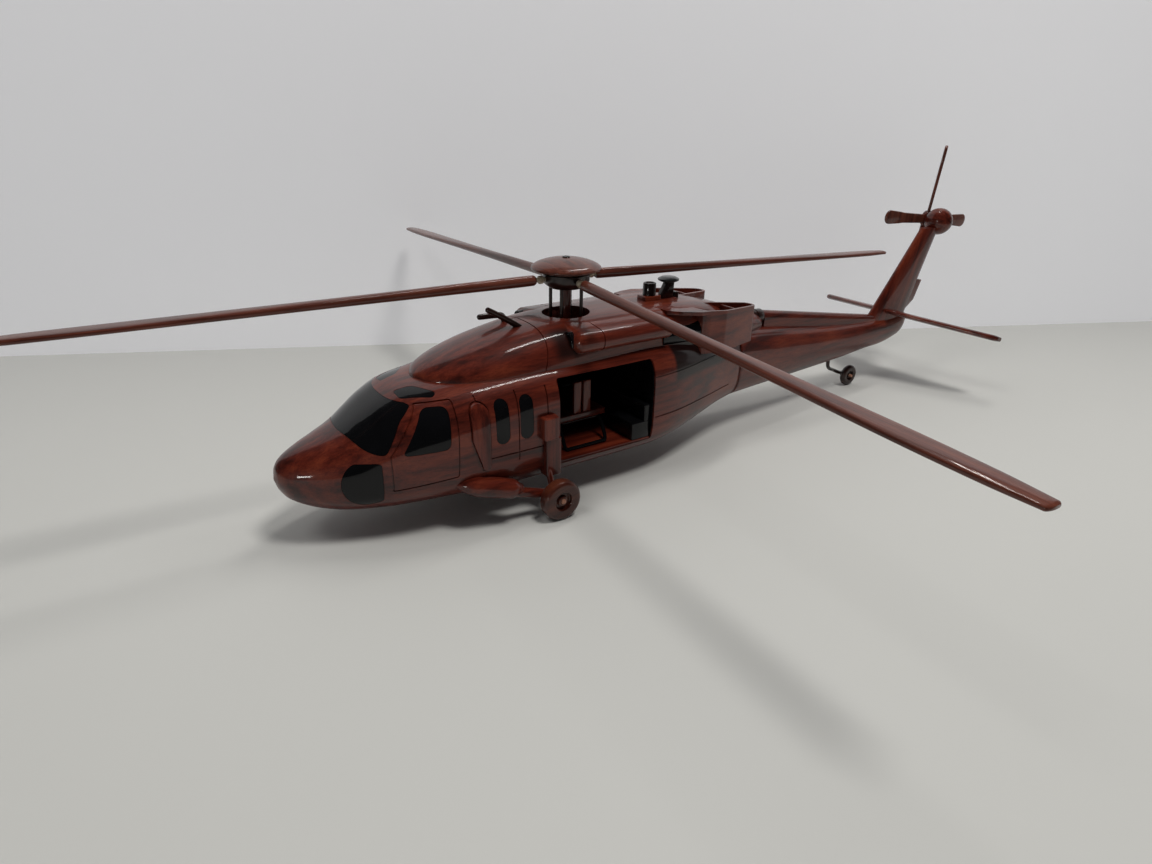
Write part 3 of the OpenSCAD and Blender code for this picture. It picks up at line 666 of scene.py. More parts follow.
def dark_metal(name):
    n = Nodes(name)
    at = n.add("ShaderNodeTexCoord").outputs["Object"]
    cloud = n.noise(at, 1.0, (300, 300, 300), detail=4, rough=0.6)
    colour = n.ramp(cloud, [(0.35, (0.012, 0.015, 0.015)), (0.65, (0.035, 0.04, 0.04))])
    rough = n.math("ADD", n.math("MULTIPLY", cloud, 0.25), 0.2)
    return n.finish(colour, rough, n.bump(cloud, 0.2, 0.0003), 0.6, 0.08, Metallic=0.4)


# Areas turned near black, some by black paint and some by painted shade: x, y and z spans, edge softness and
# strength
BLACK_PAINT_AND_SHADE = [
    # Black paint on the shoulder behind each nacelle, under its exhaust scoop.
    (((20, 200), (60, 124), (66, 89)), 0.002, 0.95),
    # Painted shade of a dark intake recess on the cowl just ahead of each nacelle; the mesh does not cut that
    # recess.
    (((24, 60), (-29, -12), (93, 113)), 0.004, 0.85),
]
RED_TONES = (0.038, 0.0055, 0.0033), (0.108, 0.0155, 0.0078), (0.17, 0.030, 0.013)
MAHOGANY = wood("mahogany_lacquer", *RED_TONES)
BODY = wood("mahogany_and_black", *RED_TONES, painted=BLACK_PAINT_AND_SHADE)
WHEELS = wood("wheel_wood_lacquer", (0.028, 0.006, 0.004), (0.062, 0.014, 0.008), (0.10, 0.025, 0.012))
DARK = wood("dark_wood_lacquer", (0.008, 0.0035, 0.003), (0.022, 0.008, 0.006), (0.045, 0.014, 0.009))
REDDISH = wood(
    "rotor_wood_lacquer", (0.05, 0.013, 0.008), (0.115, 0.03, 0.018), (0.17, 0.05, 0.03), coat_rough=0.05
)
PALE = wood(
    "pale_dowel", (0.30, 0.13, 0.085), (0.42, 0.20, 0.13), (0.52, 0.27, 0.18), gloss=0.5, coat_rough=0.2
)
BLACK = lacquer_black("black_lacquer")
BONE = bone_washer("bone_washer")
METAL = dark_metal("dark_metal")
UPRIGHT = {"along": (0, 0, 1), "up": (0, 1, 0)}  # wood whose grain stands on end
_seed = [1.0]


def piece(obj, node, material, along=(0, 1, 0), up=(0, 0, 1), body="airframe", forms=(), angle=38):
    """Shades a finished mesh and puts it in place of a CAD node, on that node's body."""
    shade(obj, forms, angle)
    obj.name = obj.data.name = node + "_fine"
    _seed[0] += 1.0
    grain(obj, along, up, _seed[0])
    obj.data.materials.clear()
    obj.data.materials.append(material)
    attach(obj, body)
    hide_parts(node)
    return obj


def both(obj, name):
    """Adds the mirrored half to a mesh drawn on the port side."""
    return merge(obj, [clone(obj, name + "_m", mirror=True)])


def port_and_starboard(port, node, **how):
    """Makes two pieces, the given one and its mirror image."""
    star = clone(port, node, mirror=True)
    piece(port, node + "_port", MAHOGANY, **how)
    piece(star, node + "_starboard", MAHOGANY, **how)


# ---------------------------------------------------------------- airframe outlines, in y and z
DOOR = [(-100.5, 82), (-120, 81), (-139, 56), (-139, 35), (-102.5, 38)]
DOOR_WINDOW = [(-104, 79.5), (-117.5, 79.5), (-133, 56), (-106.5, 56.5)]
WINDSHIELD = [
    (-172, 65), (-156, 65), (-151, 60.3), (-146, 57.8), (-141, 57), (-130.5, 73.5), (-122, 80.5),
    (-124, 81.3), (-172, 81.3),
]
ROOF_WINDOW = [(10, -125), (12, -115), (26.5, -105.5), (29.5, -108.5), (20.5, -124.5)]
TRACKS = [(38, 117, 73), (41, 130, 44.5)]


def oval(y, low, high, width, steps=12):
    r = width / 2
    turns = [(r * math.cos(math.pi * k / steps), r * math.sin(math.pi * k / steps)) for k in range(steps + 1)]
    return [(y + c, high - r + h) for c, h in turns] + [(y - c, low + r - h) for c, h in turns]


def chin_outline():
    y0, z0, r = -151.5, 40.5, 13.5
    pts = []
    for k in range(49):
        a = math.radians(45 + (315 - 45) * k / 48)
        y, z = y0 + r * math.cos(a), z0 + r * 1.02 * math.sin(a)
        pts.append((min(y, -144), min(z, 53)))
    clean = [pts[0]]
    for p in pts[1:]:
        if (Vector(p) - Vector(clean[-1])).length > 0.3:
            clean.append(p)
    return clean


def hull_outline(circles, steps=16):
    """The outline round circles of x, y and radius."""
    pts = []
    for x, y, r in circles:
        for k in range(steps * 4):
            a = math.pi * 2 * k / (steps * 4)
            pts.append((x + r * math.cos(a), y + r * math.sin(a)))
    pts = sorted(set((round(p[0], 4), round(p[1], 4)) for p in pts))

    def half(points):
        out = []
        for p in points:
            while len(out) > 1 and (
                (out[-1][0] - out[-2][0]) * (p[1] - out[-2][1])
                - (out[-1][1] - out[-2][1]) * (p[0] - out[-2][0])
            ) <= 1e-7:
                out.pop()
            out.append(p)
        return out

    lower, upper = half(pts), half(pts[::-1])
    return lower[:-1] + upper[:-1]


BLISTER = hull_outline([(-87.8, 74.5, 5.2), (-88.2, 60, 5.4), (-85.4, 41, 2.4)])


def hollow_prism(name, points, width, low, high):
    """A thin closed wall along an outline in y and z."""
    outer, inner = grown(points, width / 2), grown(points, -width / 2)
    steps = ((low, outer), (high, outer), (high, inner), (low, inner), (low, outer))
    obj = rings_mesh(name, [[(x, *p) for p in edge] for x, edge in steps], closed_ends=False)
    weld(obj)
    return obj


# ---------------------------------------------------------------- fuselage
LINE = 0.8
LINE_DEPTH = 0.7
PANE_DEPTH = 0.8
PANE_INSET = 0.12

fuselage_whole = loft("fuselage_whole", FUSELAGE)
fuselage_form = Form(fuselage_whole)
boom_whole = loft("boom_whole", BOOM)
boom_form = Form(boom_whole)
cowl_whole = loft("cowl_whole", COWL)
cowl_form = Form(cowl_whole)


def side_pair(port):
    return [port, clone(port, port.name + "_m", mirror=True)]


def skin_lines():
    """Everything engraved in the cabin's skin, as thin solids limited to just under the skin."""
    solids = side_pair(hollow_prism("door_line", fillet(DOOR, 1), LINE, 5, 80))
    strips = [(start, end, z - LINE / 2, z + LINE / 2) for start, end, z in TRACKS]
    strips += [(y, y + LINE, 40, 83) for y in (-88, -64, -44)]
    strips += [(-88, -44, 45, 45 + LINE)]
    for strip in strips:
        solids += side_pair(prism("strip_line", rectangle(*strip), 5, 80))
    solids += side_pair(hollow_prism("blister_line", grown(BLISTER, LINE / 2), LINE, 5, 80))
    return solids


WINDOWS = {
    "door_windows": [(fillet(DOOR_WINDOW, 4), "x", 20)],
    "oval_windows": [(oval(-74, 53, 80, 8.6), "x", 20), (oval(-58, 53, 80, 8.6), "x", 20)],
    "chin_windows": [(chin_outline(), "x", 8)],
    "windshield": [(fillet(WINDSHIELD, [0, 2, 2, 2, 3, 3, 1.5, 0.5, 0]), "x", None)],
    "roof_windows": [(fillet(ROOF_WINDOW, 2.5), "z", 70)],
}


def pane_solids(node, grow):
    solids = []
    for outline, axis, low in WINDOWS[node]:
        points = grown(outline, grow) if grow else outline
        if low is None:
            solids.append(prism(node + "_solid", points, -60, 60, axis))
            continue
        start = low - grow if axis == "x" else low
        solids += side_pair(prism(node + "_solid", points, start, 110, axis))
    return solids


def limit_to_skin(solid, under, rows=FUSELAGE):
    """Keeps only the part of a solid that is above a surface just under the skin."""
    return cut(solid, [loft("inner", rows, n=96, steps=6, grow=-under)])


body = clone(fuselage_whole, "body")
keel = block("keel_cut", (-42, -60, 0), (42, 55, 18), bevel=1.2)
cut(body, [keel])
opening = fillet(rectangle(*CABIN), 2.5)
cut(body, [prism("opening", opening, -80, 80)])
for solid in skin_lines():
    cut(body, [limit_to_skin(solid, LINE_DEPTH)])
for node in WINDOWS:
    for solid in pane_solids(node, 0.18):
        cut(body, [limit_to_skin(solid, PANE_DEPTH)])
piece(body, "fuselage", BODY, forms=[fuselage_form])

for node in WINDOWS:
    whole = None
    for solid in pane_solids(node, -0.02):
        solid = limit_to_skin(solid, PANE_DEPTH)
        cut(solid, [loft("outer", FUSELAGE, grow=-PANE_INSET)], "INTERSECT")
        whole = solid if whole is None else merge(whole, [solid])
    pane_face = loft("pane_face", FUSELAGE, grow=-PANE_INSET)
    piece(whole, node, BLACK, forms=[Form(pane_face)])
    drop(pane_face)

# ---------------------------------------------------------------- tail boom
boom = clone(boom_whole, "boom")
seam = prism("seam", rectangle(SEAM_Y - 1, SEAM_Y + LINE, 0, 120), -60, 60)
cut(boom, [limit_to_skin(seam, LINE_DEPTH, BOOM)])
piece(boom, "tail_boom", MAHOGANY, forms=[boom_form])

# ---------------------------------------------------------------- top cowl
cowl = clone(cowl_whole, "cowl")
cut(cowl, [disc("recess", 15.9, DECK_FLOOR, 125, n=128)])
line = prism("line", [(-43.4, 70), (-42.6, 70), (-27.6, 125), (-28.4, 125)], -60, 60)
cut(cowl, [limit_to_skin(line, LINE_DEPTH, COWL)])
cut(cowl, [prism("cabin_room", grown(opening, 1), -80, 80)])
piece(cowl, "top_cowl", BODY, forms=[cowl_form])


def pill(name, low_y, high_y, centres, radius, end):
    """A long body with a rounded section through two centres in x and z, and domed ends."""
    (x0, z0), (x1, z1) = centres
    base = math.atan2(z1 - z0, x1 - x0)
    n = 40
    dome = [(end * math.cos(a), math.sin(a)) for a in (math.pi / 2 * k / 12 for k in range(1, 13))]
    rings = [(low_y + end - reach, s) for reach, s in dome]
    rings += [(high_y - end + reach, s) for reach, s in dome[::-1]]
    out = []
    for y, s in rings:
        ring = []
        r = radius * max(s, 0.02)
        inset = (radius - r) * 0.2
        for k in range(n):
            a = math.pi * 2 * (k + 0.5) / n
            cx, cz = (x0 + inset, z0) if math.cos(a) < 0 else (x1 - inset, z1)
            ring.append((cx + r * math.cos(a + base), y, cz + r * math.sin(a + base)))
        out.append(ring)
    return rings_mesh(name, out)


def nacelle_shape():
    centres = ((20, 103.5), (35, 101.5))
    obj = pill("nacelle", -18, 62, centres, 7.0, 6)
    line = prism("nacelle_line", rectangle(2, 2 + LINE, 80, 125), 5, 70)
    cut(line, [pill("nacelle_core", -12, 56, centres, 6.4, 5)])
    mouth = disc("mouth", 6.1, -24, -13.5, centre=INTAKE, axis=(0, 1, 0))
    return cut(obj, [line, mouth])


port_and_starboard(nacelle_shape(), "nacelle", angle=30)

intake = lathe(
    "intake",
    [(4.6, -18.8)] + arc(5.4, -18.8, 0.8, 180, 0, 8) + [(6.2, -13.6), (0, -13.6), (0, -15.6), (4.6, -16)],
    n=64,
    centre=INTAKE,
    axis=(0, 1, 0),
)
intake = both(intake, "intake")
piece(intake, "intake_faces", BLACK)

duct = disc("duct", 9.5, 56, 103.5, centre=(26, 0, 93.5), axis=(0, 1, 0))
duct = both(duct, "duct")
piece(duct, "exhaust_ducts", BLACK)


SCOOP = hull_outline(
    [(16, 88, 3), (33, 95, 6), (33, 107, 7.5), (27, 126, 7.5), (26.5, 140, 6.5), (16, 114, 3)]
)
LIP = hull_outline([(22, 62.5, 1), (29.5, 62.5, 1), (34, 72, 1.5), (38.5, 85, 1.5), (33, 94, 6), (20, 92, 1)])
RIM_SLOPE = math.tan(math.radians(4.43))


def rim_height(x, y):
    return 111 - (y - 60) * RIM_SLOPE


def scoop_shape():
    outer = prism("scoop", SCOOP, 78, rim_height, "z")
    lip = prism("lip", LIP, lambda x, y: rim_height(x, y) - 2.5, rim_height, "z")
    cut(outer, [lip], "UNION")
    inner = prism("scoop_inner", grown(SCOOP, -2), lambda x, y: rim_height(x, y) - 8, 130, "z")
    cut(outer, [inner])
    rounded(outer, 0.45, 3, 40)
    return outer


port_and_starboard(scoop_shape(), "exhaust_scoop", angle=45)

vane = block("vane", (15.5, 123, 97), (33.3, 124.6, 104.8), 0.4)
vane = both(vane, "vane")
piece(vane, "exhaust_vanes", MAHOGANY, along=(1, 0, 0))

# ---------------------------------------------------------------- on the deck
beacon = lathe(
    "beacon",
    [(0, 113), (4.6, 113), (4.6, 121.9), (4.4, 122.3)]
    + arc(3.9, 122.6, 0.7, 0, 90, 6)
    + [(3.2, 123.3), (2.9, 122.7), (0, 122.7)],
    n=64,
    centre=(0, 70, 0),
)
piece(beacon, "beacon_drum", DARK, **UPRIGHT)
base = block("base", (-5, 63, 106), (5, 77, 114.6), 0.8)
merge(base, [block("base_rear", (-5, 76, 104), (5, 92, 111), 0.6)])
piece(base, "beacon_base", MAHOGANY)
stalk = prism("stalk", [(90.5, 109), (79, 109), (79, 112), (85, 123.4), (91, 123.4)], -2.5, 2.5)
rounded(stalk, 0.7)
piece(stalk, "antenna_stalk", DARK, **UPRIGHT)
cap = lathe(
    "cap",
    [(0, 122.6), (6.0, 122.6), (7.5, 123.3)]
    + arc(7.1, 124.0, 0.6, -60, 70, 8)
    + [(5.2, 125.7), (2, 126.0), (0, 126.05)],
    n=64,
    centre=(0, 87, 0),
)
piece(cap, "antenna_cap", METAL)
knob = block("knob", (-2.5, 92.0, 103), (2.5, 95.6, 114.4), 0.7)
piece(knob, "antenna_block", DARK, **UPRIGHT)
probe = tube("probe", [(6, -37, 107.5), (6, -48, 114.8), (6, -60, 122)], [2.0, 1.9, 1.7])
piece(probe, "pitot_port", DARK, along=(0, -1, 0.6))
bent = [(-10, -39, 106), (-10, -42, 112), (-10, -46, 113.2), (-10, -58, 113.6)]
probe = tube("probe", bent, [2.0, 2.1, 1.9, 1.8])
piece(probe, "pitot_starboard", DARK)

# ---------------------------------------------------------------- fin, tailplane, spine
def fin_ring(z, lead, trail, half, n=64):
    mid, chord = (lead + trail) / 2, (trail - lead) / 2
    return [(half * s, mid + chord * c, z) for c, s in squarish(n, 2 / 2.2, 2 / 2.6)]


rings = []
for k in range(25):
    t = k / 24
    rings.append(fin_ring(55 + 83 * t, 323.5 + 64.5 * t, 381 + 30 * t, 4.9 - 0.3 * t))
fin = rings_mesh("fin", rings)
panel = prism("panel", [(368, 58), (380, 62), (394, 72), (401, 90), (380, 94)], -2, 2)
rounded(panel, 0.6)
cut(fin, [panel], "UNION")
ball_room = lathe("ball_room", arc(0, 0, 11.7, -90, 90, 32), n=64, centre=GEARBOX)
cut(fin, [ball_room])
piece(fin, "tail_pylon", MAHOGANY, along=(0, 0.35, 1), up=(0, 1, 0), angle=40)

rings = []
half_span = 91
for k in range(-24, 25):
    t = k / 24
    x = half_span * t
    s = abs(t)
    lead = -20 + (17 + 20) * max(0, (s * half_span - 9) / (half_span - 9))
    trail = 21 + 8 * s
    thick = 2.5
    if s > 0.97:
        shrink = (s - 0.97) / 0.03
        lead, trail = lead + 3 * shrink**2, trail - 3 * shrink**2
        thick = 2.5 - 0.7 * shrink
    mid, chord = (lead + trail) / 2, (trail - lead) / 2
    rings.append([(x, mid + chord * c, thick * h) for c, h in squarish(40, 0.75, 0.6)])
tip = math.radians(-15.5)
rings = [
    [
        (x, 368 + v * math.cos(tip) - h * math.sin(tip), 62 + v * math.sin(tip) + h * math.cos(tip))
        for x, v, h in ring
    ]
    for ring in rings
]
plane = rings_mesh("plane", rings)
piece(plane, "stabilator", MAHOGANY, along=(1, 0, 0), angle=45)

ball = lathe("ball", [(0, -11.9)] + arc(0, 0, 11.9, -90, 90, 48)[1:-1] + [(0, 11.9)], n=96, centre=GEARBOX)
cut(ball, [disc("bore", 2.05, 7, 20, n=48, centre=TAIL_ROTOR, axis=(-1, 0, 0.026))])
piece(ball, "tail_gearbox", MAHOGANY, along=(1, 0.2, 0), angle=50)

rings = []
for k in range(25):
    t = k / 24
    y = 186 + 150 * t
    low, half = 71 - 19 * t, 5.6 - 1.5 * t
    crown = 83 - 22.5 * t
    ring = [(half, y, low), (half, y, crown)]
    ring += [
        (half * math.cos(a), y, crown + half * math.sin(a))
        for a in (math.pi * j / 16 for j in range(1, 16))
    ]
    ring += [(-half, y, crown), (-half, y, low)]
    rings.append(ring)
spine = rings_mesh("spine", rings)
piece(spine, "driveshaft_cover", MAHOGANY, angle=40)
collar = lathe(
    "collar",
    [(0, 174), (5.4, 174), (5.4, 179), (5.8, 179.4), (5.8, 185), (5.4, 185.6), (0, 185.6)],
    n=64,
    centre=(0, 0, 84),
    axis=(0, 1, 0),
)
piece(collar, "driveshaft_collar", DARK)

# ---------------------------------------------------------------- side blisters
blister = prism("blister", BLISTER, 30, 60)
shell = loft("shell", FUSELAGE, grow=1.3)
cut(blister, [shell], "INTERSECT")
rounded(blister, 0.5, 3, 50)
blister = both(blister, "blister")
piece(blister, "side_blisters", MAHOGANY, **UPRIGHT, angle=50)

# ---------------------------------------------------------------- cabin
front, rear, floor_z = CABIN[:3]
lining = prism("lining", grown(opening, -0.05), -48, 48)
room = prism("room", grown(opening, -0.85), FAR_PANEL, 60)
beyond = prism("beyond", grown(opening, -0.85), -60, FAR_PANEL - 1.1)
no_floor = block("no_floor", (-60, front - 1, floor_z - 2), (60, rear + 1, floor_z + 1.5), 0)
seat_room = block("seat_room", (-60, 23.9, floor_z), (FAR_PANEL + 1, 39, floor_z + 14.1), 0)
back_room = block("back_room", (-60, 33.9, floor_z), (FAR_PANEL + 1, 39, floor_z + 25.6), 0)
cut(lining, [room, beyond, no_floor, seat_room, back_room])
cut(lining, [loft("inner", FUSELAGE, grow=-1.2)], "INTERSECT")
piece(lining, "cabin_lining", BLACK)
floor_board = block("floor_board", (-46, front + 1, floor_z - 0.6), (46, rear - 1, floor_z + 1.5), 0.4)
piece(floor_board, "cabin_floor", MAHOGANY)
bench = block("bench", (-23, -20, 43.5), (23, 18, 48), 0.7)
piece(bench, "cabin_bench", MAHOGANY, along=(1, 0, 0))
slats = None
for x in (-22, 18.5):
    for y in (-7, 0.5):
        slat = block("slat", (x, y, 47.6), (x + 3.5, y + 6, 70), 0.6)
        slats = slat if slats is None else merge(slats, [slat])
piece(slats, "bench_backs", MAHOGANY, **UPRIGHT)
loop_points = [
    (22, -18, 42.2), (29, -20.5, 36.7), (36, -22, 31.6), (37, -17, 31.4), (37, 4, 31.4), (36, 9, 31.6),
    (29, 12, 36.7), (22, 13, 42.2), (20.5, 8, 42.3), (20.5, -12, 42.3),
]
loops = both(tube("loop", loop_points, 1.25, closed=True), "loop")
piece(loops, "seat_frames", BLACK)
rear_seat = block("rear_seat", (-46, 24, floor_z + 1.5), (46, 38.9, floor_z + 14), 0.8)
backrest = block("backrest", (-46, 34, floor_z + 13), (46, 38.9, floor_z + 25.5), 0.8)
merge(rear_seat, [backrest])
piece(rear_seat, "rear_bench", BLACK)
bush = lathe("bush", [(3.35, 91), (6.5, 91), (6.5, 102.4), (6.0, 103), (3.9, 103), (3.35, 102.5)], n=64)
piece(bush, "mast_bush", DARK, **UPRIGHT)

# ---------------------------------------------------------------- landing gear
def beam():
    fairing = tube(
        "fairing",
        [
            (42.5, -103, 31), (44, -99, 30.3), (47, -92, 29),
            (50, -80, 26.2), (52, -71, 24), (52.3, -66.5, 22.8),
        ],
        [1.2, 4.0, 6.3, 6.4, 6.2, 3.6],
        n=40,
    )
    arm = tube("arm", [(52, -72, 22.3), (52.6, -58, 17.6), (53, -43.2, 13.2)], [3.4, 3.1, 2.9], n=32)
    rim = [(0, 50.4), (3.2, 50.4), (3.6, 50.8), (3.6, 55.2), (3.2, 55.6), (0, 55.6)]
    boss = lathe("boss", rim, n=48, centre=MAIN_AXLE, axis=(1, 0, 0))
    return merge(fairing, [arm, boss])


port_and_starboard(beam(), "drag_beam")


def rect_ring(x0, x1, y0, y1, z, r, steps=5):
    pts = []
    corners = (x1 - r, y1 - r, 0), (x0 + r, y1 - r, 90), (x0 + r, y0 + r, 180), (x1 - r, y0 + r, 270)
    for cx, cy, start in corners:
        for k in range(steps + 1):
            a = math.radians(start + 90 * k / steps)
            pts.append((cx + r * math.cos(a), cy + r * math.sin(a), z))
    return pts


def housing():
    stack = [
        (24.5, 44, 51.9, -46.0, -36.2, 1.2),
        (25.3, 43.5, 52.5, -46.6, -35.6, 1.6),
        (49.4, 43.5, 52.5, -46.6, -35.6, 1.6),
        (49.9, 43, 53.7, -48.2, -38.4, 1.6),
        (50.6, 43, 54.5, -49.0, -38.4, 1.6),
        (64.2, 43, 54.5, -49.0, -38.4, 1.6),
        (65.0, 43, 53.7, -48.2, -39.2, 1.6),
    ]
    return rings_mesh("housing", [rect_ring(x0, x1, y0, y1, z, r) for z, x0, x1, y0, y1, r in stack])


port_and_starboard(housing(), "strut_housing", **UPRIGHT, angle=35)

rod = tube("rod", [(50.5, -44.5, 30), (51.8, -43.6, 22), (53, WHEEL.y, WHEEL.z + 1)], 2.0, n=32)
rods = both(rod, "rod")
piece(rods, "strut_rods", MAHOGANY, **UPRIGHT)

axle = lathe(
    "axle", [(0, 50.5), (1.6, 50.5), (1.6, 66.0)] + arc(1.2, 66.1, 0.4, 0, 80, 4) + [(0, 66.5)], n=48,
    centre=MAIN_AXLE, axis=(1, 0, 0),
)
axles = both(axle, "axle")
piece(axles, "main_axles", PALE, along=(1, 0, 0))


def wheel_profile(radius, width, pin):
    """A turned wooden wheel: round tread, dished outer face with a raised boss."""
    w, gap = width / 2, pin + 0.05
    face = radius * 0.5
    return (
        [(gap, -w + 0.3), (gap + 0.3, -w), (radius - 3.2, -w)]
        + arc(radius - 2.6, -w + 2.6, 2.6, -90, 0, 10)
        + arc(radius - 2.6, w - 2.6, 2.6, 0, 90, 10)
        + [(radius * 0.62, w + 0.0), (radius * 0.58, w - 0.1)]
        + arc(face + 0.2, w - 1.0, 0.9, 80, 180, 6, 0.9)
        + [(radius * 0.46, w - 2.6), (radius * 0.42, w - 3.0), (radius * 0.28, w - 3.0)]
        + [(radius * 0.25, w - 2.6), (radius * 0.24, w - 1.2), (radius * 0.21, w - 0.9)]
        + [(gap + 0.2, w - 0.8), (gap, w - 1.0)]
    )


def wheel(name, node, body, centre, side, radius, width, pin, material):
    obj = lathe(name, wheel_profile(radius, width, pin), n=128, centre=centre, axis=(side, 0, 0))
    piece(obj, node, material, body=body, along=(0, 1, 0.3), angle=32)


wheel("wheel", "wheel_port", "port_wheel", WHEEL, 1, 13, 9, 1.6, WHEELS)
wheel("wheel", "wheel_starboard", "starboard_wheel", (-WHEEL.x, WHEEL.y, WHEEL.z), -1, 13, 9, 1.6, WHEELS)
wheel("wheel", "tail_wheel", "rear_wheel", TAIL_WHEEL, 1, 9.5, 5.5, 1.2, DARK)

strut = tube(
    "strut",
    [(0, 283, 36), (0, 283, 26), (-1.6, 288, 20.5), (-5.8, 300, 15.5), (-5.8, 309, 11.5), (-5.8, 315.5, 9.5)],
    1.6,
    n=32,
)
eye = lathe("eye", [(0, -1.5), (2.1, -1.5), (2.4, -1.2), (2.4, 1.2), (2.1, 1.5), (0, 1.5)], n=40,
            centre=(-5.8, TAIL_WHEEL.y, TAIL_WHEEL.z), axis=(1, 0, 0))
merge(strut, [eye])
piece(strut, "tail_strut", DARK)
axle = lathe(
    "axle", [(0, -7)] + [(1.0, -7), (1.2, -6.8), (1.2, 4.1), (1.0, 4.4), (0, 4.5)], n=40,
    centre=(0, TAIL_WHEEL.y, TAIL_WHEEL.z), axis=(1, 0, 0),
)
piece(axle, "tail_axle", PALE, along=(1, 0, 0))

# ---------------------------------------------------------------- main rotor
rotor = turned(ROTOR_TURN, "Z")


def blade_place(k):
    return (
        rotor
        @ turned(90 * k, "Z")
        @ Matrix.Translation((0, 0, (ROTOR_Z + LIFT[k]) * MM))
        @ turned(DROOP[k], "Y")
    )


mast = disc("mast", 3.3, 91.6, RING_HIGH - 0.2)
piece(mast, "mast", MAHOGANY, body="main_rotor", **UPRIGHT)
ring = lathe(
    "ring",
    [(3.4, RING_LOW), (10.8, RING_LOW), (11.4, RING_LOW + 0.3), (14.4, RING_LOW + 2.7)]
    + [(15.2, RING_LOW + 3.8), (15.5, RING_LOW + 5.4), (15.5, RING_HIGH), (3.4, RING_HIGH)],
    n=128,
)
piece(ring, "hub_ring", DARK, body="main_rotor", along=(1, 0, 0), angle=30)
dome = 5.5
profile = [(0, RING_HIGH + 0.02), (14, RING_HIGH + 0.02), (19, RING_HIGH + 1.6), (21.8, RING_HIGH + 2.6)]
profile += arc(21.6, RING_HIGH + 3.6, 1.2, -40, 60, 8)
for k in range(1, 25):
    r = 22.2 * (1 - k / 24)
    profile.append((r, RING_HIGH + 4.6 + dome * (1 - (r / 22.2) ** 2) ** 0.75))
cap = lathe("cap", profile[:-1] + [(0, RING_HIGH + 4.6 + dome)], n=160)
piece(cap, "hub_cap", REDDISH, body="main_rotor", along=(1, 0.1, 0), angle=50)
screw = lathe(
    "screw", [(0, RING_HIGH + 6), (2.5, RING_HIGH + 6), (2.5, RING_HIGH + 10.4)]
    + arc(2.1, RING_HIGH + 10.4, 0.4, 0, 90, 5) + [(0, RING_HIGH + 10.8)], n=48,
)
slot = block("slot_cut", (-4, -0.4, RING_HIGH + 10.2), (4, 0.4, RING_HIGH + 13), 0.05, 1)
cut(screw, [slot])
piece(screw, "cap_screw", METAL, body="main_rotor")
pushrods = None
for k in range(4):
    a = math.radians(ROTOR_TURN + 45 + 90 * k)
    x, y = 10.4 * math.cos(a), 10.4 * math.sin(a)
    one = tube("pushrod", [(x, y, DECK_FLOOR + 1.6), (x, y, 115), (x, y, RING_LOW + 2)], 1.15, n=24)
    pushrods = one if pushrods is None else merge(pushrods, [one])
piece(pushrods, "pushrods", DARK, body="main_rotor", **UPRIGHT)

for k, node in enumerate(("blade_port", "blade_aft", "blade_starboard", "blade_forward")):
    rings = [section(r, 64, 0) for r in refine(BLADE, 10)]
    end = rings[-1]
    for shrink in (0.97, 0.9, 0.78, 0.55):
        out = (1 - shrink) ** 0.5 * 2.2
        rings.append([(x * shrink - 1.3 * (1 - shrink), y + out, z * shrink) for x, y, z in end])
    obj = rings_mesh("blade", rings)
    obj.data.transform(turned(-90, "Z"))
    obj.data.transform(Matrix.Diagonal((BLADE_LENGTH[k], 1, 1, 1)))
    obj.data.transform(blade_place(k))
    along = blade_place(k).to_3x3() @ Vector((1, 0, 0))
    piece(obj, node, REDDISH, along=along, body="main_rotor", angle=50)

washers = None
for k in range(4):
    one = lathe(
        "washer",
        [(1.45, 17.0)] + arc(1.9, 17.7, 0.7, -90, 0, 5) + arc(1.9, 19.5, 0.7, 0, 90, 5) + [(1.45, 20.2)],
        n=48,
        axis=(1, 0, 0),
    )
    one.data.transform(blade_place(k))
    pin = disc("pin", 1.4, 14, 24.5, n=32, axis=(1, 0, 0))
    pin.data.transform(blade_place(k))
    merge(one, [pin])
    washers = one if washers is None else merge(washers, [one])
piece(washers, "root_washers", BONE, body="main_rotor", angle=60)

# ---------------------------------------------------------------- tail rotor
tail_place = Matrix.Translation(TAIL_ROTOR * MM) @ turned(-90 + TAIL_CANT, "Y")
shaft = disc("shaft", 2, -3, 13.6, n=40)
shaft.data.transform(tail_place)
piece(shaft, "tail_rotor_shaft", DARK, body="tail_rotor", along=(1, 0, 0))
hub = lathe(
    "hub",
    [(0, 12.2), (6.9, 12.2)]
    + arc(6.9, 12.8, 0.6, -90, 0, 4)
    + arc(6.5, 15.6, 1.0, 0, 90, 6)
    + [(3, 17.3), (0, 17.6)],
    n=72,
)
hub.data.transform(tail_place)
piece(hub, "tail_rotor_hub", MAHOGANY, body="tail_rotor", along=(0, 1, 0))
paddle_outline = [(6, -4), (6, 4)]
paddle_outline += [(39, 4.6), (44, 5.2)]
paddle_outline += [(59 + 6 * math.sin(math.pi * k / 14), 6 * math.cos(math.pi * k / 14)) for k in range(15)]
paddle_outline += [(44, -5.2), (39, -4.6)]
paddles = None
for k in range(4):
    one = prism("paddle", paddle_outline, -1.3, 1.3, "z")
    rounded(one, 0.8, 4, 40)
    turn = turned(TAIL_TURN + 90 * k, "Z")
    pitch = turned(33 if k % 2 == 0 else 0, "X")
    one.data.transform(tail_place @ Matrix.Translation((0, 0, 14.4 * MM)) @ turn @ pitch)
    paddles = one if paddles is None else merge(paddles, [one])
piece(paddles, "tail_blades", REDDISH, body="tail_rotor", **UPRIGHT, angle=45)

drop(fuselage_whole, boom_whole, cowl_whole)


# ---------------------------------------------------------------- stage, lights and camera
TABLE_EDGE = 0.5
FLOOR_HALF = 1.6
WALL_HEIGHT = 0.6
CLOTH_GLOW = 0.24
ROOM_FILL, ROOM_MIRRORED, ROOM_SEEN = 0.10, 0.02, 0.62  # the room's strength for each kind of ray


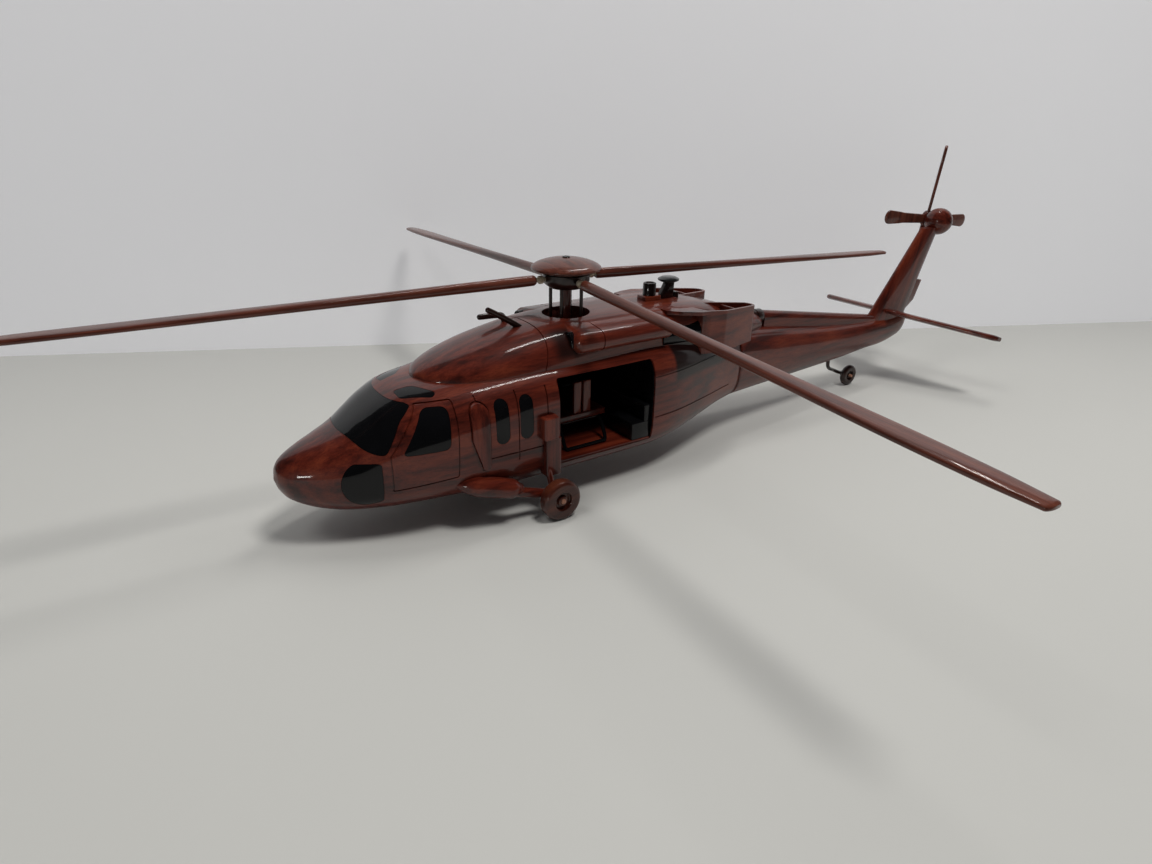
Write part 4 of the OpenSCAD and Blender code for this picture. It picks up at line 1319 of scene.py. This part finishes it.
def stage_material(name, colour, rough, one_sided=False):
    n = Nodes(name)
    at = n.add("ShaderNodeTexCoord").outputs["Object"]
    cloud = n.noise(at, 2.5, (1, 1, 1), detail=4, rough=0.55)
    shade_of = tuple(c * 0.94 for c in colour)
    tint = n.mix("MIX", cloud, shade_of, colour)
    if not one_sided:
        # The lacquer mirrors a dark room, not pale ground, beyond the table's near edge.
        split = n.add("ShaderNodeSeparateXYZ")
        n.link(at, split.inputs[0])
        beyond = n.math("GREATER_THAN", split.outputs[0], TABLE_EDGE)
        mirrored = n.add("ShaderNodeLightPath").outputs["Is Glossy Ray"]
        tint = n.mix("MIX", n.math("MULTIPLY", beyond, mirrored), tint, (0.01, 0.01, 0.01))
    glow = CLOTH_GLOW if one_sided else 0.0
    mat = n.finish(tint, rough, Specular_IOR_Level=0.25, Emission_Color=colour, Emission_Strength=glow)
    if one_sided:
        shader = next(x for x in n.tree.nodes if x.type == "BSDF_PRINCIPLED")
        out = next(x for x in n.tree.nodes if x.type == "OUTPUT_MATERIAL")
        clear = n.add("ShaderNodeBsdfTransparent")
        mixer = n.add("ShaderNodeMixShader")
        back = n.add("ShaderNodeNewGeometry").outputs["Backfacing"]
        n.link(back, mixer.inputs[0])
        n.link(shader.outputs[0], mixer.inputs[1])
        n.link(clear.outputs[0], mixer.inputs[2])
        n.link(mixer.outputs[0], out.inputs["Surface"])
    return mat


floor = make(
    "floor",
    [(x, y, 0) for x, y in rectangle(-FLOOR_HALF, FLOOR_HALF, -FLOOR_HALF, FLOOR_HALF)],
    [(0, 1, 2, 3)],
)
floor.data.materials.append(stage_material("table", (0.60, 0.60, 0.575), 0.6))
wall_foot = Vector((-0.335, 0.0, 0))
wall_along = Vector((0.419, 0.908, 0)).normalized()
face = Vector((wall_along.y, -wall_along.x, 0))
ends = [wall_foot - wall_along * 0.56, wall_foot + wall_along * 5]
top = Vector((0, 0, WALL_HEIGHT))
wall = make("wall", [tuple(p) for p in (ends[0], ends[1], ends[1] + top, ends[0] + top)], [(0, 1, 2, 3)])
if wall.data.polygons[0].normal.dot(face) < 0:
    wall.data.flip_normals()
wall.data.materials.append(stage_material("cloth", (0.80, 0.80, 0.82), 0.8, one_sided=True))

world = bpy.data.worlds.new("room")
SCENE.world = world
world.use_nodes = True
background = world.node_tree.nodes["Background"]
background.inputs["Color"].default_value = (0.80, 0.84, 0.90, 1)
# The room is a soft grey fill, nearly black where the lacquer mirrors it, and pale to the camera.
path = world.node_tree.nodes.new("ShaderNodeLightPath")
fill = world.node_tree.nodes.new("ShaderNodeMapRange")
fill.inputs["To Min"].default_value = ROOM_FILL
fill.inputs["To Max"].default_value = ROOM_MIRRORED
seen = world.node_tree.nodes.new("ShaderNodeMapRange")
seen.inputs["To Max"].default_value = ROOM_SEEN
world.node_tree.links.new(path.outputs["Is Glossy Ray"], fill.inputs["Value"])
world.node_tree.links.new(path.outputs["Is Camera Ray"], seen.inputs["Value"])
world.node_tree.links.new(fill.outputs["Result"], seen.inputs["To Min"])
world.node_tree.links.new(seen.outputs["Result"], background.inputs["Strength"])


def lamp(name, where, target, size, power, colour, along=None, mirrored=False, lights=True):
    """An area lamp, whose long side runs along a direction.

    Only a mirrored lamp is seen in the lacquer, and one that doesn't light is seen there only.
    """
    data = bpy.data.lights.new(name, "AREA")
    data.shape = "RECTANGLE"
    data.size, data.size_y = size
    data.energy = power
    data.color = colour
    obj = bpy.data.objects.new(name, data)
    SCENE.collection.objects.link(obj)
    back = (Vector(where) - Vector(target)).normalized()
    side = Vector(along) if along else Vector((0, 0, 1)).cross(back)
    side = (side - back * side.dot(back)).normalized()
    turn = Matrix((side, back.cross(side), back)).transposed().to_4x4()
    obj.matrix_world = Matrix.Translation(where) @ turn
    obj.visible_glossy = mirrored
    obj.visible_diffuse = lights


TUBE_RUN = Vector((-0.34, 1.11, 0))
for k, shift in enumerate((-0.05, 0.05)):
    lamp(
        f"ceiling_tube_{k}", (-0.38 + shift, 0.85, 2.0), (-0.05 + shift, 0.1, 0), (1.25, 0.03), 5,
        (1, 0.98, 0.95), along=TUBE_RUN, mirrored=True,
    )
lamp("key", (0.72, 0.31, 1.9), (0, 0, 0), (0.45, 0.45), 18, (1, 0.98, 0.95))
lamp("second", (0.0, -0.95, 1.7), (0, 0, 0), (0.6, 0.6), 6, (1, 0.99, 0.97))
lamp("soft", (-0.2, 0.9, 2.4), (0, 0.1, 0), (1.6, 1.6), 4.6, (1, 0.99, 0.97))
lamp(
    "nose_glint", (0.66, -1.32, 0.24), (0, -0.17, 0.05), (0.22, 0.1), 1.6, (1, 0.98, 0.94),
    mirrored=True, lights=False,
)

CAMERA_AT = (0.3944, -0.2553, 0.2351)
SENSOR, LENS = 36, 22.73
YAW, PITCH, ROLL = math.radians(-123.90), math.radians(24.10), math.radians(0.924)
forward = Vector((math.sin(YAW) * math.cos(PITCH), -math.cos(YAW) * math.cos(PITCH), -math.sin(PITCH)))
flat_right = Vector((-math.cos(YAW), -math.sin(YAW), 0))
flat_up = flat_right.cross(forward)
right = flat_right * math.cos(ROLL) + flat_up * math.sin(ROLL)
up = flat_up * math.cos(ROLL) - flat_right * math.sin(ROLL)
camera_data = bpy.data.cameras.new("camera")
camera_data.sensor_width = SENSOR
camera_data.lens = LENS
camera_data.clip_start = 0.01
camera = bpy.data.objects.new("camera", camera_data)
SCENE.collection.objects.link(camera)
turn = Matrix((right, up, -forward)).transposed().to_4x4()
camera.matrix_world = Matrix.Translation(CAMERA_AT) @ turn
SCENE.camera = camera
SCENE.view_settings.view_transform = "Standard"
